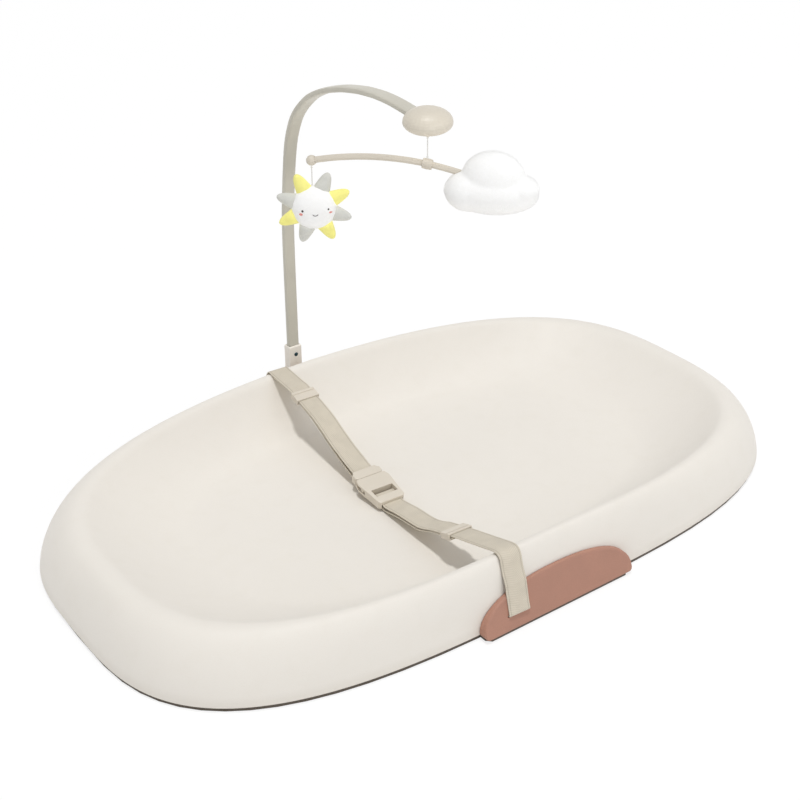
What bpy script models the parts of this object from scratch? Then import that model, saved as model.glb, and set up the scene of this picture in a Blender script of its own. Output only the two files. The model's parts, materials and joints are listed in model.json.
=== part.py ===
"""Contoured changing mat with a waist strap, side anchor panels and a toy arm.

Units are metres, +Z is up, +X runs along the mat and +Y points to the side
that carries the toy arm. The origin is the middle of the mat's underside.
"""
import math

import bpy
import bmesh
from mathutils import Matrix, Vector

# Fits and clearances
GAP = 0.0003
RUN_GAP = 0.0006
WELD_PARTS = 30
OVERRUN = 0.012

# Foam mat
MAT_HALF_L = 0.4120
MAT_HALF_W = 0.2316
MAT_POWER = 3.23
SHEET_T = 0.0030
SHEET_INSET = 0.0020
MAT_FOOT_INSET = 0.0030
WALL_BASE_Z = 0.0045
CREST_Z_MID = 0.0774
CREST_Z_END = 0.0623
CREST_INSET_SIDE = 0.0147
CREST_INSET_END = 0.0364
CREST_POWER = 2.71
CREST_DROP_POWER = 1.3
WALL_BOW_POWER = 0.765
CREASE_SIDE_W = 0.0070
CREASE_END_W = 0.0100
CREASE_DROP = 0.0012
CREASE_POWER = 2.8
BASIN_HALF_L = 0.262
BASIN_HALF_W = 0.150
BASIN_POWER = 2.6
BASIN_FOOT_Z = 0.0185
BASIN_FLOOR_Z = 0.0165
SLOPE_POWER = 1.6
MAT_SEGMENTS = 64
WALL_ANGLES_DEG = (0.0, 16.0, 34.0, 52.0, 70.0, 90.0)
SLOPE_SHARES = (0.14, 0.34, 0.58, 0.8, 1.0)
FLOOR_SHARES = (0.66, 0.33)

# Anchor panels on both long sides
PANEL_X = -0.0110
PANEL_HALF_L = 0.0955
PANEL_TOP_Z = 0.0475
PANEL_SHOULDER_Z = 0.0085
PANEL_BOTTOM_Z = SHEET_T + GAP
PANEL_CORNER_R = 0.0045
PANEL_POWER = 2.2
PANEL_STAND = 0.0119
PANEL_FOOT_Y = MAT_HALF_W + PANEL_STAND
PANEL_LEAN = 0.27
PANEL_WALL = 0.0025
PANEL_EDGE_R = 0.0016
PANEL_DEPTH = 0.0300
TONGUE_HALF_L = 0.0560
TONGUE_T = 0.0025
TONGUE_REACH = 0.0290
TONGUE_SCREW_X = 0.0400
TONGUE_SCREW_INSET = 0.0160
PANEL_ARC_STEPS = 26
LOBE_INSET = 0.0030
LOBE_CORNER = 0.0050

# Strap and its frame
STRAP_X = -0.0556
STRAP_YAW_DEG = 2.3
WEB_W = 0.0250
WEB_T = 0.0014
SLOT_Z = 0.0184
SLOT_SIDE_GAP = 0.0012
POCKET_BELOW = 0.0116
POCKET_ABOVE = 0.0084
POCKET_SIDE_GAP = 0.0045
ANCHOR_R = 0.0013
ANCHOR_SEAT = 0.0030
ANCHOR_INSET = 0.0045
ANCHOR_TAIL = 0.0014
SKEW_ROOM = 0.0006

# Strap keepers
KEEPER_HALF_LEN = 0.0075
KEEPER_WALL = 0.0014
KEEPER_SIDE_GAP = 0.0005
KEEPER_FACE_GAP = 0.0004
LAYER_GAP = 0.0005
KEEPER_GROOVE_AT = 0.0030
KEEPER_GROOVE_HALF = 0.0006
KEEPER_GROOVE_DEPTH = 0.0006
FRONT_KEEPER_INSET = 0.0943
FRONT_KEEPER_DROP = 0.0252
FRONT_KEEPER_TILT_DEG = 19.5
REAR_KEEPER_INSET = 0.0761
REAR_KEEPER_DROP = 0.0062
REAR_KEEPER_TILT_DEG = 13.0
KEEPER_RUN_IN = 0.0125
KEEPER_RUN_OUT = 0.0240
TAIL_REACH = 0.0110

# Side release buckle, measured along and across the strap
BUCKLE_Y = 0.0055
BUCKLE_LIFT = 0.0123
BUCKLE_Z = BASIN_FLOOR_Z + BUCKLE_LIFT
BUCKLE_TILT_DEG = 8.2
BUCKLE_HALF_T = 0.0047
BUCKLE_EDGE_R = 0.0009
FEMALE_FRONT = 0.0290
FEMALE_MOUTH = 0.0152
FEMALE_END_HALF_W = 0.0165
FEMALE_WAIST_HALF_W = 0.0175
FEMALE_WAIST = 0.0140
FEMALE_SHOULDER_HALF_W = 0.0198
FEMALE_SHOULDER = 0.0085
FEMALE_MOUTH_HALF_W = 0.0178
FEMALE_CORNER = 0.0028
WINDOW_FRONT = 0.0187
WINDOW_BACK = 0.0072
WEB_BAR_R = 0.0015
WEB_BAR_DROP = 0.0017
FEMALE_BAR = 0.0130
FEMALE_ROOF = 0.0012
CHANNEL_SIDE_GAP = 0.0009
CAVITY_HALF_W = 0.0145
CAVITY_HALF_T = 0.0028
CAVITY_DEPTH = 0.0060
SIDE_SLOT_HALF_T = 0.0026
SIDE_SLOT_END = 0.0036
MALE_FRONT = 0.0155
MALE_BACK = 0.0285
MALE_EAR_HALF_W = 0.0174
MALE_END_HALF_W = 0.0152
MALE_EAR_LEN = 0.0085
MALE_ROOF = 0.0020
MALE_BAR = 0.0232
MALE_CHANNEL = 0.0195
TONGUE_GUIDE_HALF_W = 0.0040
TONGUE_GUIDE_TIP = 0.0020
TONGUE_GUIDE_HALF_T = 0.0022
PRONG_X = 0.0115
PRONG_PIVOT = 0.0135
PRONG_HALF_W = 0.0017
PRONG_TIP = 0.0045
PRONG_HALF_T = 0.0022
PAD_OUT = 0.0070
PAD_NEAR = 0.0090
PAD_FAR = 0.0030
PAD_SHOULDER_SHARE = 0.92
PAD_TOP_NEAR_SHARE = 0.72
PAD_TOP_FAR_SHARE = 0.34

# Toy arm and its socket
ARM_X = -0.0075
ARM_STAND = 0.0139
ARM_Y = MAT_HALF_W + ARM_STAND
ARM_FOOT_Z = 0.0262
ARM_W = 0.0138
ARM_T = 0.0076
ARM_TOP_W = 0.0162
ARM_TOP_T = 0.0066
ARM_END_W = 0.0174
ARM_END_T = 0.0056
ARM_TOP_Z = 0.4362
ARM_REACH = 0.2600
ARM_SOCKET_DEPTH = 0.0130
ARM_SEGMENTS = 16
ARM_SECTION_POWER = 4.6
ARM_PATH_SHARES = (
    (0.0, 0.0), (0.0, 0.14), (0.0, 0.29), (0.0, 0.43), (0.0023, 0.509), (0.0077, 0.570),
    (0.0212, 0.643), (0.0320, 0.692), (0.0458, 0.744), (0.0616, 0.784), (0.0865, 0.823),
    (0.1100, 0.850), (0.1435, 0.876), (0.1865, 0.901), (0.2365, 0.925), (0.2946, 0.944),
    (0.3562, 0.960), (0.4185, 0.972), (0.4796, 0.982), (0.5392, 0.989), (0.5973, 0.995),
    (0.6535, 0.998), (0.7077, 1.0), (0.7885, 0.999), (0.8558, 0.995),
)
ARM_TAPER_START_SHARE = 0.45
ARM_TAPER_TOP_SHARE = 0.70
ARM_END_DROP_DEG = 7.0

SOCKET_HALF_W = 0.0084
SOCKET_HALF_T = 0.0062
SOCKET_TOP_Z = 0.0875
SOCKET_BOTTOM_Z = 0.0060
SOCKET_STEP_RISE = 0.0060
SOCKET_LAP_DROP = 0.0025
SOCKET_EDGE_R = 0.0012
CLAMP_SCREW_DROP = 0.0107
CLAMP_HEAD_R = 0.0024
CLAMP_HEAD_T = 0.0010
CLAMP_SHANK_R = 0.0012
CLAMP_SHANK_L = 0.0018
MOUNT_SCREW_RISE = 0.0090
MOUNT_SCREW_X = 0.0040
MOUNT_HEAD_R = 0.0026
MOUNT_HEAD_T = 0.0012
MOUNT_SHANK_R = 0.0013
MOUNT_SHANK_L = 0.0170
SCREW_CROWN_SHARE = 0.8
SHEET_HEAD_R = 0.0036
SHEET_HEAD_T = 0.0012
SHEET_HEAD_LIFT = 0.0004
SHEET_SHANK_R = 0.0015

# Cap at the end of the arm
CAP_R = 0.0242
CAP_DROP = 0.0072
CAP_DOME = 0.0142
CAP_UNDER = 0.0116
CAP_RIM_DROP = 0.0068
CAP_WIDEST_Z = ARM_TOP_Z - CAP_DROP
CAP_BASE_Z = CAP_WIDEST_Z - CAP_RIM_DROP
CAP_TOP_Z = CAP_WIDEST_Z + CAP_DOME
CAP_POWER = 2.1
CAP_STEPS = 9
CAP_UNDER_STEPS = 4
PLATE_FLAT_R = 0.0050
PLATE_STEPS = 4
STUD_R = 0.0020
STUD_L = 0.0024
TURN_STEPS = 32

# Hanging bar
STRING_R = 0.0006
BAR_YAW_DEG = 133.0
BAR_R = 0.0033
BAR_ARC_R = 0.3007
BAR_PEAK = 0.0474
BAR_DROP = 0.0307
BAR_PEAK_Z = CAP_BASE_Z - BAR_DROP
BAR_TOY_REACH = 0.1140
BAR_CLOUD_REACH = 0.0520
BAR_STEPS = 22
COLLAR_R = 0.0050
COLLAR_HALF_L = 0.0048
END_CAP_R = 0.0053
END_CAP_SEAT = 0.0030

# Sun toy
SUN_DROP = 0.0484
SUN_R = 0.0220
SUN_HALF_T = 0.0112
SUN_YAW_DEG = -33.0
SUN_RINGS = 10
SUN_SEGMENTS = 28
RAY_DEGS = (67.0, 117.0, 161.0, 205.0, 250.0, 299.0, 342.0, 385.0)
RAY_CENTRE_R = 0.0216
RAY_HALF_L = 0.0160
RAY_HALF_W = 0.0079
RAY_HALF_T = 0.0042
RAY_RINGS = 8
RAY_SEGMENTS = 10
RAY_TIP_SHARE = 0.52
RAY_TIP_POWER = 3.4

# Cloud toy, across, deep and up
CLOUD_YAW_DEG = -43.0
CLOUD_PAST_BAR = 0.0101
CLOUD_TILT_DEG = 2.5
CLOUD_DROP = 0.0110
CLOUD_BASE_HALF = (0.0465, 0.0200, 0.0224)
CLOUD_TOP_HALF = (0.0296, 0.0178, 0.0267)
CLOUD_TOP_AT = (-0.0005, 0.0, 0.0146)
CLOUD_SIDE_HALF = (0.0165, 0.0158, 0.0135)
CLOUD_SIDE_AT = (0.0290, 0.0, 0.0058)
CLOUD_RINGS = 12
CLOUD_SEGMENTS = 22

COLOURS = {
    "foam": ((0.83, 0.79, 0.72, 1.0), 0.55, 0.0),
    "sheet": ((0.17, 0.15, 0.13, 1.0), 0.8, 0.0),
    "panel": ((0.40, 0.14, 0.08, 1.0), 0.5, 0.0),
    "web": ((0.62, 0.54, 0.43, 1.0), 0.85, 0.0),
    "clip": ((0.66, 0.58, 0.48, 1.0), 0.4, 0.0),
    "arm": ((0.52, 0.46, 0.40, 1.0), 0.42, 0.0),
    "cap": ((0.75, 0.68, 0.58, 1.0), 0.42, 0.0),
    "bar": ((0.62, 0.55, 0.47, 1.0), 0.5, 0.0),
    "string": ((0.78, 0.77, 0.75, 1.0), 0.9, 0.0),
    "plush": ((0.93, 0.93, 0.92, 1.0), 0.95, 0.0),
    "yellow": ((0.90, 0.85, 0.30, 1.0), 0.95, 0.0),
    "grey": ((0.60, 0.60, 0.58, 1.0), 0.95, 0.0),
    "steel": ((0.55, 0.55, 0.56, 1.0), 0.3, 1.0),
    "dark": ((0.04, 0.10, 0.12, 1.0), 0.4, 0.3),
}


def clear_scene():
    for obj in list(bpy.data.objects):
        bpy.data.objects.remove(obj, do_unlink=True)


clear_scene()
PARTS = bpy.data.collections.new("changing_mat")
CUTTERS = bpy.data.collections.new("changing_mat_cutters")
bpy.context.scene.collection.children.link(PARTS)
bpy.context.scene.collection.children.link(CUTTERS)


def make_material(name, key):
    colour, rough, metal = COLOURS[key]
    mat = bpy.data.materials.new(name)
    mat.use_nodes = True
    bsdf = mat.node_tree.nodes["Principled BSDF"]
    bsdf.inputs["Base Color"].default_value = colour
    bsdf.inputs["Roughness"].default_value = rough
    bsdf.inputs["Metallic"].default_value = metal
    return mat


def empty(name, matrix, parent=None):
    obj = bpy.data.objects.new(name, None)
    PARTS.objects.link(obj)
    obj.empty_display_size = ANCHOR_SEAT
    if parent is not None:
        obj.parent = parent
    obj.matrix_local = matrix
    bpy.context.view_layer.update()
    return obj


def finish(obj, key, parent=None, smooth_deg=None):
    """Files a mesh object as a part, or as a cutter where it has no colour."""
    for coll in list(obj.users_collection):
        coll.objects.unlink(obj)
    if key is None:
        CUTTERS.objects.link(obj)
        obj.display_type = "WIRE"
        obj.hide_render = True
    else:
        PARTS.objects.link(obj)
        obj.data.materials.clear()
        obj.data.materials.append(make_material("mat_" + obj.name, key))
        if smooth_deg is not None:
            obj.data.shade_smooth()
            obj.data.set_sharp_from_angle(angle=math.radians(smooth_deg))
    if parent is not None:
        obj.parent = parent
    return obj


def face_outwards(bm):
    bmesh.ops.recalc_face_normals(bm, faces=bm.faces)
    if bm.calc_volume(signed=True) < 0:
        bmesh.ops.reverse_faces(bm, faces=bm.faces)


def from_bmesh(name, bm, key, parent=None, smooth_deg=None):
    face_outwards(bm)
    mesh = bpy.data.meshes.new(name)
    bm.to_mesh(mesh)
    bm.free()
    obj = bpy.data.objects.new(name, mesh)
    bpy.context.scene.collection.objects.link(obj)
    return finish(obj, key, parent, smooth_deg)


def loft(name, rings, key, parent=None, smooth_deg=None, start=None, end=None):
    """Skins rings of equal count; start and end are points that close them."""
    bm = bmesh.new()
    rows = [[bm.verts.new(p) for p in ring] for ring in rings]
    count = len(rows[0])
    for low, high in zip(rows, rows[1:]):
        for i in range(count):
            j = (i + 1) % count
            bm.faces.new((low[i], low[j], high[j], high[i]))
    for row, point in ((rows[0], start), (rows[-1], end)):
        if point is None:
            bm.faces.new(row)
            continue
        tip = bm.verts.new(point)
        for i in range(count):
            bm.faces.new((row[i], row[(i + 1) % count], tip))
    return from_bmesh(name, bm, key, parent, smooth_deg)


def prism(name, points, half, key, plane="XY", parent=None, edge=0.0, at=None):
    """Extrudes a flat outline; plane names the axes that the outline lies in."""
    curve = bpy.data.curves.new(name, "CURVE")
    curve.dimensions = "2D"
    curve.fill_mode = "BOTH"
    curve.extrude = half - edge
    curve.bevel_depth = edge
    curve.bevel_resolution = 1
    if edge > 0.0:
        curve.offset = -edge
    spline = curve.splines.new("POLY")
    spline.points.add(len(points) - 1)
    for point, (a, b) in zip(spline.points, points):
        point.co = (a, b, 0.0, 1.0)
    spline.use_cyclic_u = True
    obj = bpy.data.objects.new(name, curve)
    bpy.context.scene.collection.objects.link(obj)
    turn = {
        "XY": Matrix.Identity(4),
        "YZ": Matrix(((0, 0, 1, 0), (1, 0, 0, 0), (0, 1, 0, 0), (0, 0, 0, 1))),
        "XZ": Matrix(((1, 0, 0, 0), (0, 0, -1, 0), (0, 1, 0, 0), (0, 0, 0, 1))),
    }[plane]
    out = solid_from_curve(obj, key, parent)
    out.data.transform(turn)
    if at is not None:
        out.data.transform(Matrix.Translation(at))
    out.data.update()
    return out


def solid_from_curve(obj, key, parent=None, smooth_deg=None):
    """Turns a curve object into a welded mesh object of the same name."""
    bpy.context.view_layer.update()
    graph = bpy.context.evaluated_depsgraph_get()
    mesh = bpy.data.meshes.new_from_object(obj.evaluated_get(graph))
    name = obj.name
    world = obj.matrix_world.copy()
    bpy.data.objects.remove(obj, do_unlink=True)
    bm = bmesh.new()
    bm.from_mesh(mesh)
    bmesh.ops.remove_doubles(bm, verts=bm.verts, dist=GAP / WELD_PARTS)
    face_outwards(bm)
    bm.to_mesh(mesh)
    bm.free()
    mesh.name = name
    out = bpy.data.objects.new(name, mesh)
    bpy.context.scene.collection.objects.link(out)
    out.matrix_world = world
    return finish(out, key, parent, smooth_deg)


def tube(name, points, radius, key, parent=None, sides=2):
    curve = bpy.data.curves.new(name, "CURVE")
    curve.dimensions = "3D"
    curve.bevel_depth = radius
    curve.bevel_resolution = sides
    curve.use_fill_caps = True
    spline = curve.splines.new("POLY")
    spline.points.add(len(points) - 1)
    for point, co in zip(spline.points, points):
        point.co = (co[0], co[1], co[2], 1.0)
    obj = bpy.data.objects.new(name, curve)
    bpy.context.scene.collection.objects.link(obj)
    return solid_from_curve(obj, key, parent, 40.0)


def box(name, low, high, key, parent=None):
    bm = bmesh.new()
    bmesh.ops.create_cube(bm, size=1.0)
    size = [b - a for a, b in zip(low, high)]
    mid = [(a + b) / 2 for a, b in zip(low, high)]
    for v in bm.verts:
        v.co = Vector([m + c * s for m, c, s in zip(mid, v.co, size)])
    return from_bmesh(name, bm, key, parent)


def rod(name, radius, start, end, key, parent=None, steps=20):
    """A straight round rod between two points."""
    a = Vector(start)
    b = Vector(end)
    along = b - a
    bm = bmesh.new()
    bmesh.ops.create_cone(bm, cap_ends=True, segments=steps, radius1=radius,
                          radius2=radius, depth=along.length)
    turn = along.to_track_quat("Z", "Y").to_matrix().to_4x4()
    bmesh.ops.transform(bm, matrix=Matrix.Translation((a + b) / 2) @ turn, verts=bm.verts)
    return from_bmesh(name, bm, key, parent, 40.0)


def turned(name, profile, key, matrix, parent=None, steps=TURN_STEPS, closed=False):
    """Spins a profile of (radius, height) about local Z."""
    mesh = bpy.data.meshes.new(name)
    verts = [(r, 0.0, z) for r, z in profile]
    edges = [(i, i + 1) for i in range(len(verts) - 1)]
    if closed:
        edges.append((len(verts) - 1, 0))
    mesh.from_pydata(verts, edges, [])
    obj = bpy.data.objects.new(name, mesh)
    bpy.context.scene.collection.objects.link(obj)
    screw = obj.modifiers.new("turn", "SCREW")
    screw.steps = steps
    screw.render_steps = steps
    screw.use_merge_vertices = True
    screw.merge_threshold = GAP / WELD_PARTS
    screw.use_normal_calculate = True
    bpy.context.view_layer.update()
    graph = bpy.context.evaluated_depsgraph_get()
    done = bpy.data.meshes.new_from_object(obj.evaluated_get(graph))
    bpy.data.objects.remove(obj, do_unlink=True)
    bm = bmesh.new()
    bm.from_mesh(done)
    bmesh.ops.remove_doubles(bm, verts=bm.verts, dist=GAP / WELD_PARTS)
    bmesh.ops.transform(bm, matrix=matrix, verts=bm.verts)
    return from_bmesh(name, bm, key, parent, 35.0)


def boolean(obj, cutter, operation="DIFFERENCE"):
    mod = obj.modifiers.new(operation.lower() + "_" + cutter.name, "BOOLEAN")
    mod.operation = operation
    mod.solver = "EXACT"
    mod.object = cutter
    return mod


def edge_round(obj, width, segments=1, angle_deg=40.0):
    mod = obj.modifiers.new("edges", "BEVEL")
    mod.width = width
    mod.segments = segments
    mod.limit_method = "ANGLE"
    mod.angle_limit = math.radians(angle_deg)
    return mod


def superellipse(half_a, half_b, power, count):
    out = []
    for i in range(count):
        t = math.tau * i / count
        c = math.cos(t)
        s = math.sin(t)
        x = half_a * math.copysign(abs(c) ** (2 / power), c)
        y = half_b * math.copysign(abs(s) ** (2 / power), s)
        out.append((x, y))
    return out


def smooth_path(points, steps):
    """Catmull-Rom curve through the given points."""
    pts = [Vector(p) for p in points]
    ends = [pts[0] * 2 - pts[1]] + pts + [pts[-1] * 2 - pts[-2]]
    out = []
    for i in range(1, len(ends) - 2):
        a, b, c, d = ends[i - 1], ends[i], ends[i + 1], ends[i + 2]
        for k in range(steps):
            t = k / steps
            out.append(0.5 * (2 * b + (c - a) * t + (2 * a - 5 * b + 4 * c - d) * t * t
                              + (3 * b - a - 3 * c + d) * t ** 3))
    out.append(pts[-1])
    return out


def ellipsoid(name, half, at, rings, segments, key, parent=None, shape=None):
    bm = bmesh.new()
    bmesh.ops.create_uvsphere(bm, u_segments=segments, v_segments=rings, radius=1.0)
    for v in bm.verts:
        unit = v.co.copy()
        if shape is not None:
            unit = shape(unit)
        v.co = Vector([m + u * h for m, u, h in zip(at, unit, half)])
    return from_bmesh(name, bm, key, parent, 60.0)


# Foam mat

def crest_height(x):
    share = min(1.0, abs(x) / (MAT_HALF_L - CREST_INSET_END))
    return CREST_Z_MID - (CREST_Z_MID - CREST_Z_END) * share ** CREST_DROP_POWER


def wall_rings(grow):
    """Outer wall of the mat from its foot to the crest, grown by a clearance."""
    base = superellipse(MAT_HALF_L + grow, MAT_HALF_W + grow, MAT_POWER, MAT_SEGMENTS)
    crest = superellipse(MAT_HALF_L - CREST_INSET_END + grow,
                         MAT_HALF_W - CREST_INSET_SIDE + grow, CREST_POWER, MAT_SEGMENTS)
    rings = []
    for deg in WALL_ANGLES_DEG:
        up = math.sin(math.radians(deg))
        inward = (1 - math.cos(math.radians(deg))) ** WALL_BOW_POWER
        ring = []
        for (bx, by), (cx, cy) in zip(base, crest):
            top = crest_height(cx) + grow
            ring.append((bx + (cx - bx) * inward, by + (cy - by) * inward,
                         WALL_BASE_Z + (top - WALL_BASE_Z) * up))
        rings.append(ring)
    return rings


def mat_rings():
    foot = superellipse(MAT_HALF_L - MAT_FOOT_INSET, MAT_HALF_W - MAT_FOOT_INSET,
                        MAT_POWER, MAT_SEGMENTS)
    rings = [[(x, y, SHEET_T + GAP) for x, y in foot]]
    rings += wall_rings(0.0)
    crease = superellipse(MAT_HALF_L - CREST_INSET_END - CREASE_END_W,
                          MAT_HALF_W - CREST_INSET_SIDE - CREASE_SIDE_W,
                          CREASE_POWER, MAT_SEGMENTS)
    crease = [(x, y, crest_height(x) - CREASE_DROP) for x, y in crease]
    rings.append(crease)
    basin = superellipse(BASIN_HALF_L, BASIN_HALF_W, BASIN_POWER, MAT_SEGMENTS)
    for share in SLOPE_SHARES:
        fall = 1 - (1 - share) ** SLOPE_POWER
        ring = []
        for (cx, cy, cz), (fx, fy) in zip(crease, basin):
            ring.append((cx + (fx - cx) * share, cy + (fy - cy) * share,
                         cz + (BASIN_FOOT_Z - cz) * fall))
        rings.append(ring)
    for share in FLOOR_SHARES:
        z = BASIN_FLOOR_Z + (BASIN_FOOT_Z - BASIN_FLOOR_Z) * share * share
        rings.append([(x * share, y * share, z) for x, y in basin])
    return rings


mat_body = loft("mat_body", mat_rings(), "foam", smooth_deg=50.0,
                start=(0.0, 0.0, SHEET_T + GAP), end=(0.0, 0.0, BASIN_FLOOR_Z))

sheet_outline = superellipse(MAT_HALF_L - SHEET_INSET, MAT_HALF_W - SHEET_INSET,
                             MAT_POWER, MAT_SEGMENTS)
base_sheet = prism("base_sheet", sheet_outline, SHEET_T / 2, "sheet",
                   at=(0.0, 0.0, SHEET_T / 2))

# The sheet reaches out under each panel
lobe_half_l = PANEL_HALF_L - LOBE_INSET
lobe_out = PANEL_FOOT_Y - LOBE_INSET
for side in (-1, 1):
    lobe_outline = [
        (PANEL_X - lobe_half_l, 0.0), (PANEL_X + lobe_half_l, 0.0),
        (PANEL_X + lobe_half_l, side * (lobe_out - LOBE_CORNER)),
        (PANEL_X + lobe_half_l - LOBE_CORNER, side * lobe_out),
        (PANEL_X - lobe_half_l + LOBE_CORNER, side * lobe_out),
        (PANEL_X - lobe_half_l, side * (lobe_out - LOBE_CORNER)),
    ]
    if side < 0:
        lobe_outline.reverse()
    lobe = prism("join_lobe_%d" % side, lobe_outline, SHEET_T / 2, None,
                 at=(0.0, 0.0, SHEET_T / 2))
    boolean(base_sheet, lobe, "UNION")

# The panels are cut to the mat's wall
cut_rings = wall_rings(GAP)
cut_foot = superellipse(MAT_HALF_L + GAP, MAT_HALF_W + GAP, MAT_POWER, MAT_SEGMENTS)
cut_rings = [[(x, y, -OVERRUN) for x, y in cut_foot]] + cut_rings
mat_cutter = loft("cut_mat", cut_rings, None, start=(0.0, 0.0, -OVERRUN),
                  end=(0.0, 0.0, CREST_Z_MID))

# Strap frame: local Y runs along the strap
strap_matrix = (Matrix.Translation((STRAP_X, 0.0, 0.0))
                @ Matrix.Rotation(-math.radians(STRAP_YAW_DEG), 4, "Z"))
strap_frame = empty("strap_frame", strap_matrix)


def panel_face(z):
    return PANEL_FOOT_Y - PANEL_LEAN * z


def lean_to_face(obj, side):
    """Moves a solid built from the face inwards onto the leaning face."""
    for v in obj.data.vertices:
        v.co.y = side * (panel_face(v.co.z) - v.co.y)
    if side > 0:
        obj.data.flip_normals()
    obj.data.update()


def panel_outline():
    pts = []
    rise = PANEL_TOP_Z - PANEL_SHOULDER_Z
    for i in range(PANEL_ARC_STEPS + 1):
        t = math.pi * i / PANEL_ARC_STEPS
        c = math.cos(t)
        s = max(0.0, math.sin(t))
        x = PANEL_HALF_L * math.copysign(abs(c) ** (2 / PANEL_POWER), c)
        pts.append((PANEL_X + x, PANEL_SHOULDER_Z + rise * s ** (2 / PANEL_POWER)))
    for side in (-1, 1):
        cx = PANEL_X + side * (PANEL_HALF_L - PANEL_CORNER_R)
        cz = PANEL_BOTTOM_Z + PANEL_CORNER_R
        steps = 4
        arc = []
        for i in range(steps):
            t = math.radians(90 * (i + 0.5) / steps)
            arc.append((cx + side * PANEL_CORNER_R * math.cos(t),
                        cz - PANEL_CORNER_R * math.sin(t)))
        if side < 0:
            pts += arc
        else:
            pts += arc[::-1]
    return pts


def anchor_centre():
    """Place of the anchor bar, as distance from the mat's middle and height."""
    z = SLOT_Z - ANCHOR_R - GAP - WEB_T / 2
    return panel_face(z) - ANCHOR_INSET, z


def strap_point(side, y, z=0.0):
    return strap_matrix @ Vector((0.0, side * y, z))


def make_panel(label, side):
    slot_x = strap_point(side, panel_face(SLOT_Z)).x
    panel = prism(label + "_panel", panel_outline(), PANEL_DEPTH / 2, "panel", "XZ",
                  edge=PANEL_EDGE_R, at=(0.0, PANEL_DEPTH / 2, 0.0))
    lean_to_face(panel, side)
    boolean(panel, mat_cutter)
    tongue_z = SHEET_T + 2 * GAP
    low_y = MAT_HALF_W - TONGUE_REACH
    high_y = MAT_HALF_W + PANEL_WALL
    y_pair = sorted((side * low_y, side * high_y))
    tongue = box("join_tongue_" + label, (PANEL_X - TONGUE_HALF_L, y_pair[0], tongue_z),
                 (PANEL_X + TONGUE_HALF_L, y_pair[1], tongue_z + TONGUE_T), None)
    boolean(panel, tongue, "UNION")
    half_slot = WEB_W / 2 + SLOT_SIDE_GAP
    half_pocket = WEB_W / 2 + POCKET_SIDE_GAP
    pocket = box("cut_pocket_" + label, (slot_x - half_pocket, PANEL_WALL, SLOT_Z - POCKET_BELOW),
                 (slot_x + half_pocket, PANEL_DEPTH + OVERRUN, SLOT_Z + POCKET_ABOVE), None)
    lean_to_face(pocket, side)
    boolean(panel, pocket)
    half_h = WEB_T / 2 + RUN_GAP
    slot = box("cut_slot_" + label, (slot_x - half_slot, -OVERRUN, SLOT_Z - half_h),
               (slot_x + half_slot, PANEL_WALL + OVERRUN / 4, SLOT_Z + half_h), None)
    lean_to_face(slot, side)
    boolean(panel, slot)
    bar_y, bar_z = anchor_centre()
    half_bar = half_pocket + ANCHOR_SEAT
    bore = rod("cut_anchor_" + label, ANCHOR_R + GAP,
               (-half_bar - GAP, side * bar_y, bar_z), (half_bar + GAP, side * bar_y, bar_z),
               None, strap_frame)
    boolean(panel, bore)
    rod(label + "_anchor_bar", ANCHOR_R, (-half_bar, side * bar_y, bar_z),
        (half_bar, side * bar_y, bar_z), "steel", strap_frame, 16)
    recess_y = sorted((side * (low_y - GAP), side * (MAT_HALF_W + OVERRUN)))
    recess = box("cut_recess_" + label,
                 (PANEL_X - TONGUE_HALF_L - GAP, recess_y[0], -OVERRUN),
                 (PANEL_X + TONGUE_HALF_L + GAP, recess_y[1], tongue_z + TONGUE_T + GAP), None)
    boolean(mat_body, recess)
    for n, x_side in enumerate((-1, 1), 1):
        x = PANEL_X + x_side * TONGUE_SCREW_X
        y = side * (MAT_HALF_W - TONGUE_SCREW_INSET)
        name = "%s_panel_screw_%d" % (label, n)
        head_top = SHEET_HEAD_LIFT + SHEET_HEAD_T
        shank_top = tongue_z + TONGUE_T - GAP
        profile = [(0.0, shank_top), (SHEET_SHANK_R, shank_top), (SHEET_SHANK_R, head_top),
                   (SHEET_HEAD_R, SHEET_HEAD_LIFT + GAP), (SHEET_HEAD_R, SHEET_HEAD_LIFT),
                   (0.0, SHEET_HEAD_LIFT)]
        turned(name, profile, "steel", Matrix.Translation((x, y, 0.0)), steps=16)
        hole = [(0.0, shank_top + OVERRUN), (SHEET_SHANK_R + GAP, shank_top + OVERRUN),
                (SHEET_SHANK_R + GAP, head_top + GAP), (SHEET_HEAD_R + GAP, SHEET_HEAD_LIFT + 2 * GAP),
                (SHEET_HEAD_R + GAP, -OVERRUN), (0.0, -OVERRUN)]
        cut = turned("cut_%s" % name, hole, None, Matrix.Translation((x, y, 0.0)), steps=16)
        boolean(base_sheet, cut)
        boolean(panel, cut)
    return panel


front_panel = make_panel("front", -1)
rear_panel = make_panel("rear", 1)


# Webbing: one strip on each side, from its anchor bar to its half of the buckle

def offset_strip(name, path, key, parent):
    """A strip of webbing along a path of (y, z) points, as wide as the webbing."""
    left = []
    right = []
    count = len(path)
    for i, p in enumerate(path):
        a = path[max(0, i - 1)]
        b = path[min(count - 1, i + 1)]
        d1 = (Vector(p) - Vector(a))
        d2 = (Vector(b) - Vector(p))
        d1 = d1.normalized() if d1.length > 0 else d2.normalized()
        d2 = d2.normalized() if d2.length > 0 else d1
        mid = (d1 + d2).normalized()
        normal = Vector((-mid.y, mid.x))
        stretch = 1 / max(0.5, mid.dot(d1))
        left.append(Vector(p) + normal * WEB_T / 2 * stretch)
        right.append(Vector(p) - normal * WEB_T / 2 * stretch)
    outline = [tuple(v) for v in left] + [tuple(v) for v in reversed(right)]
    return prism(name, outline, WEB_W / 2, key, "YZ", parent)


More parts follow.
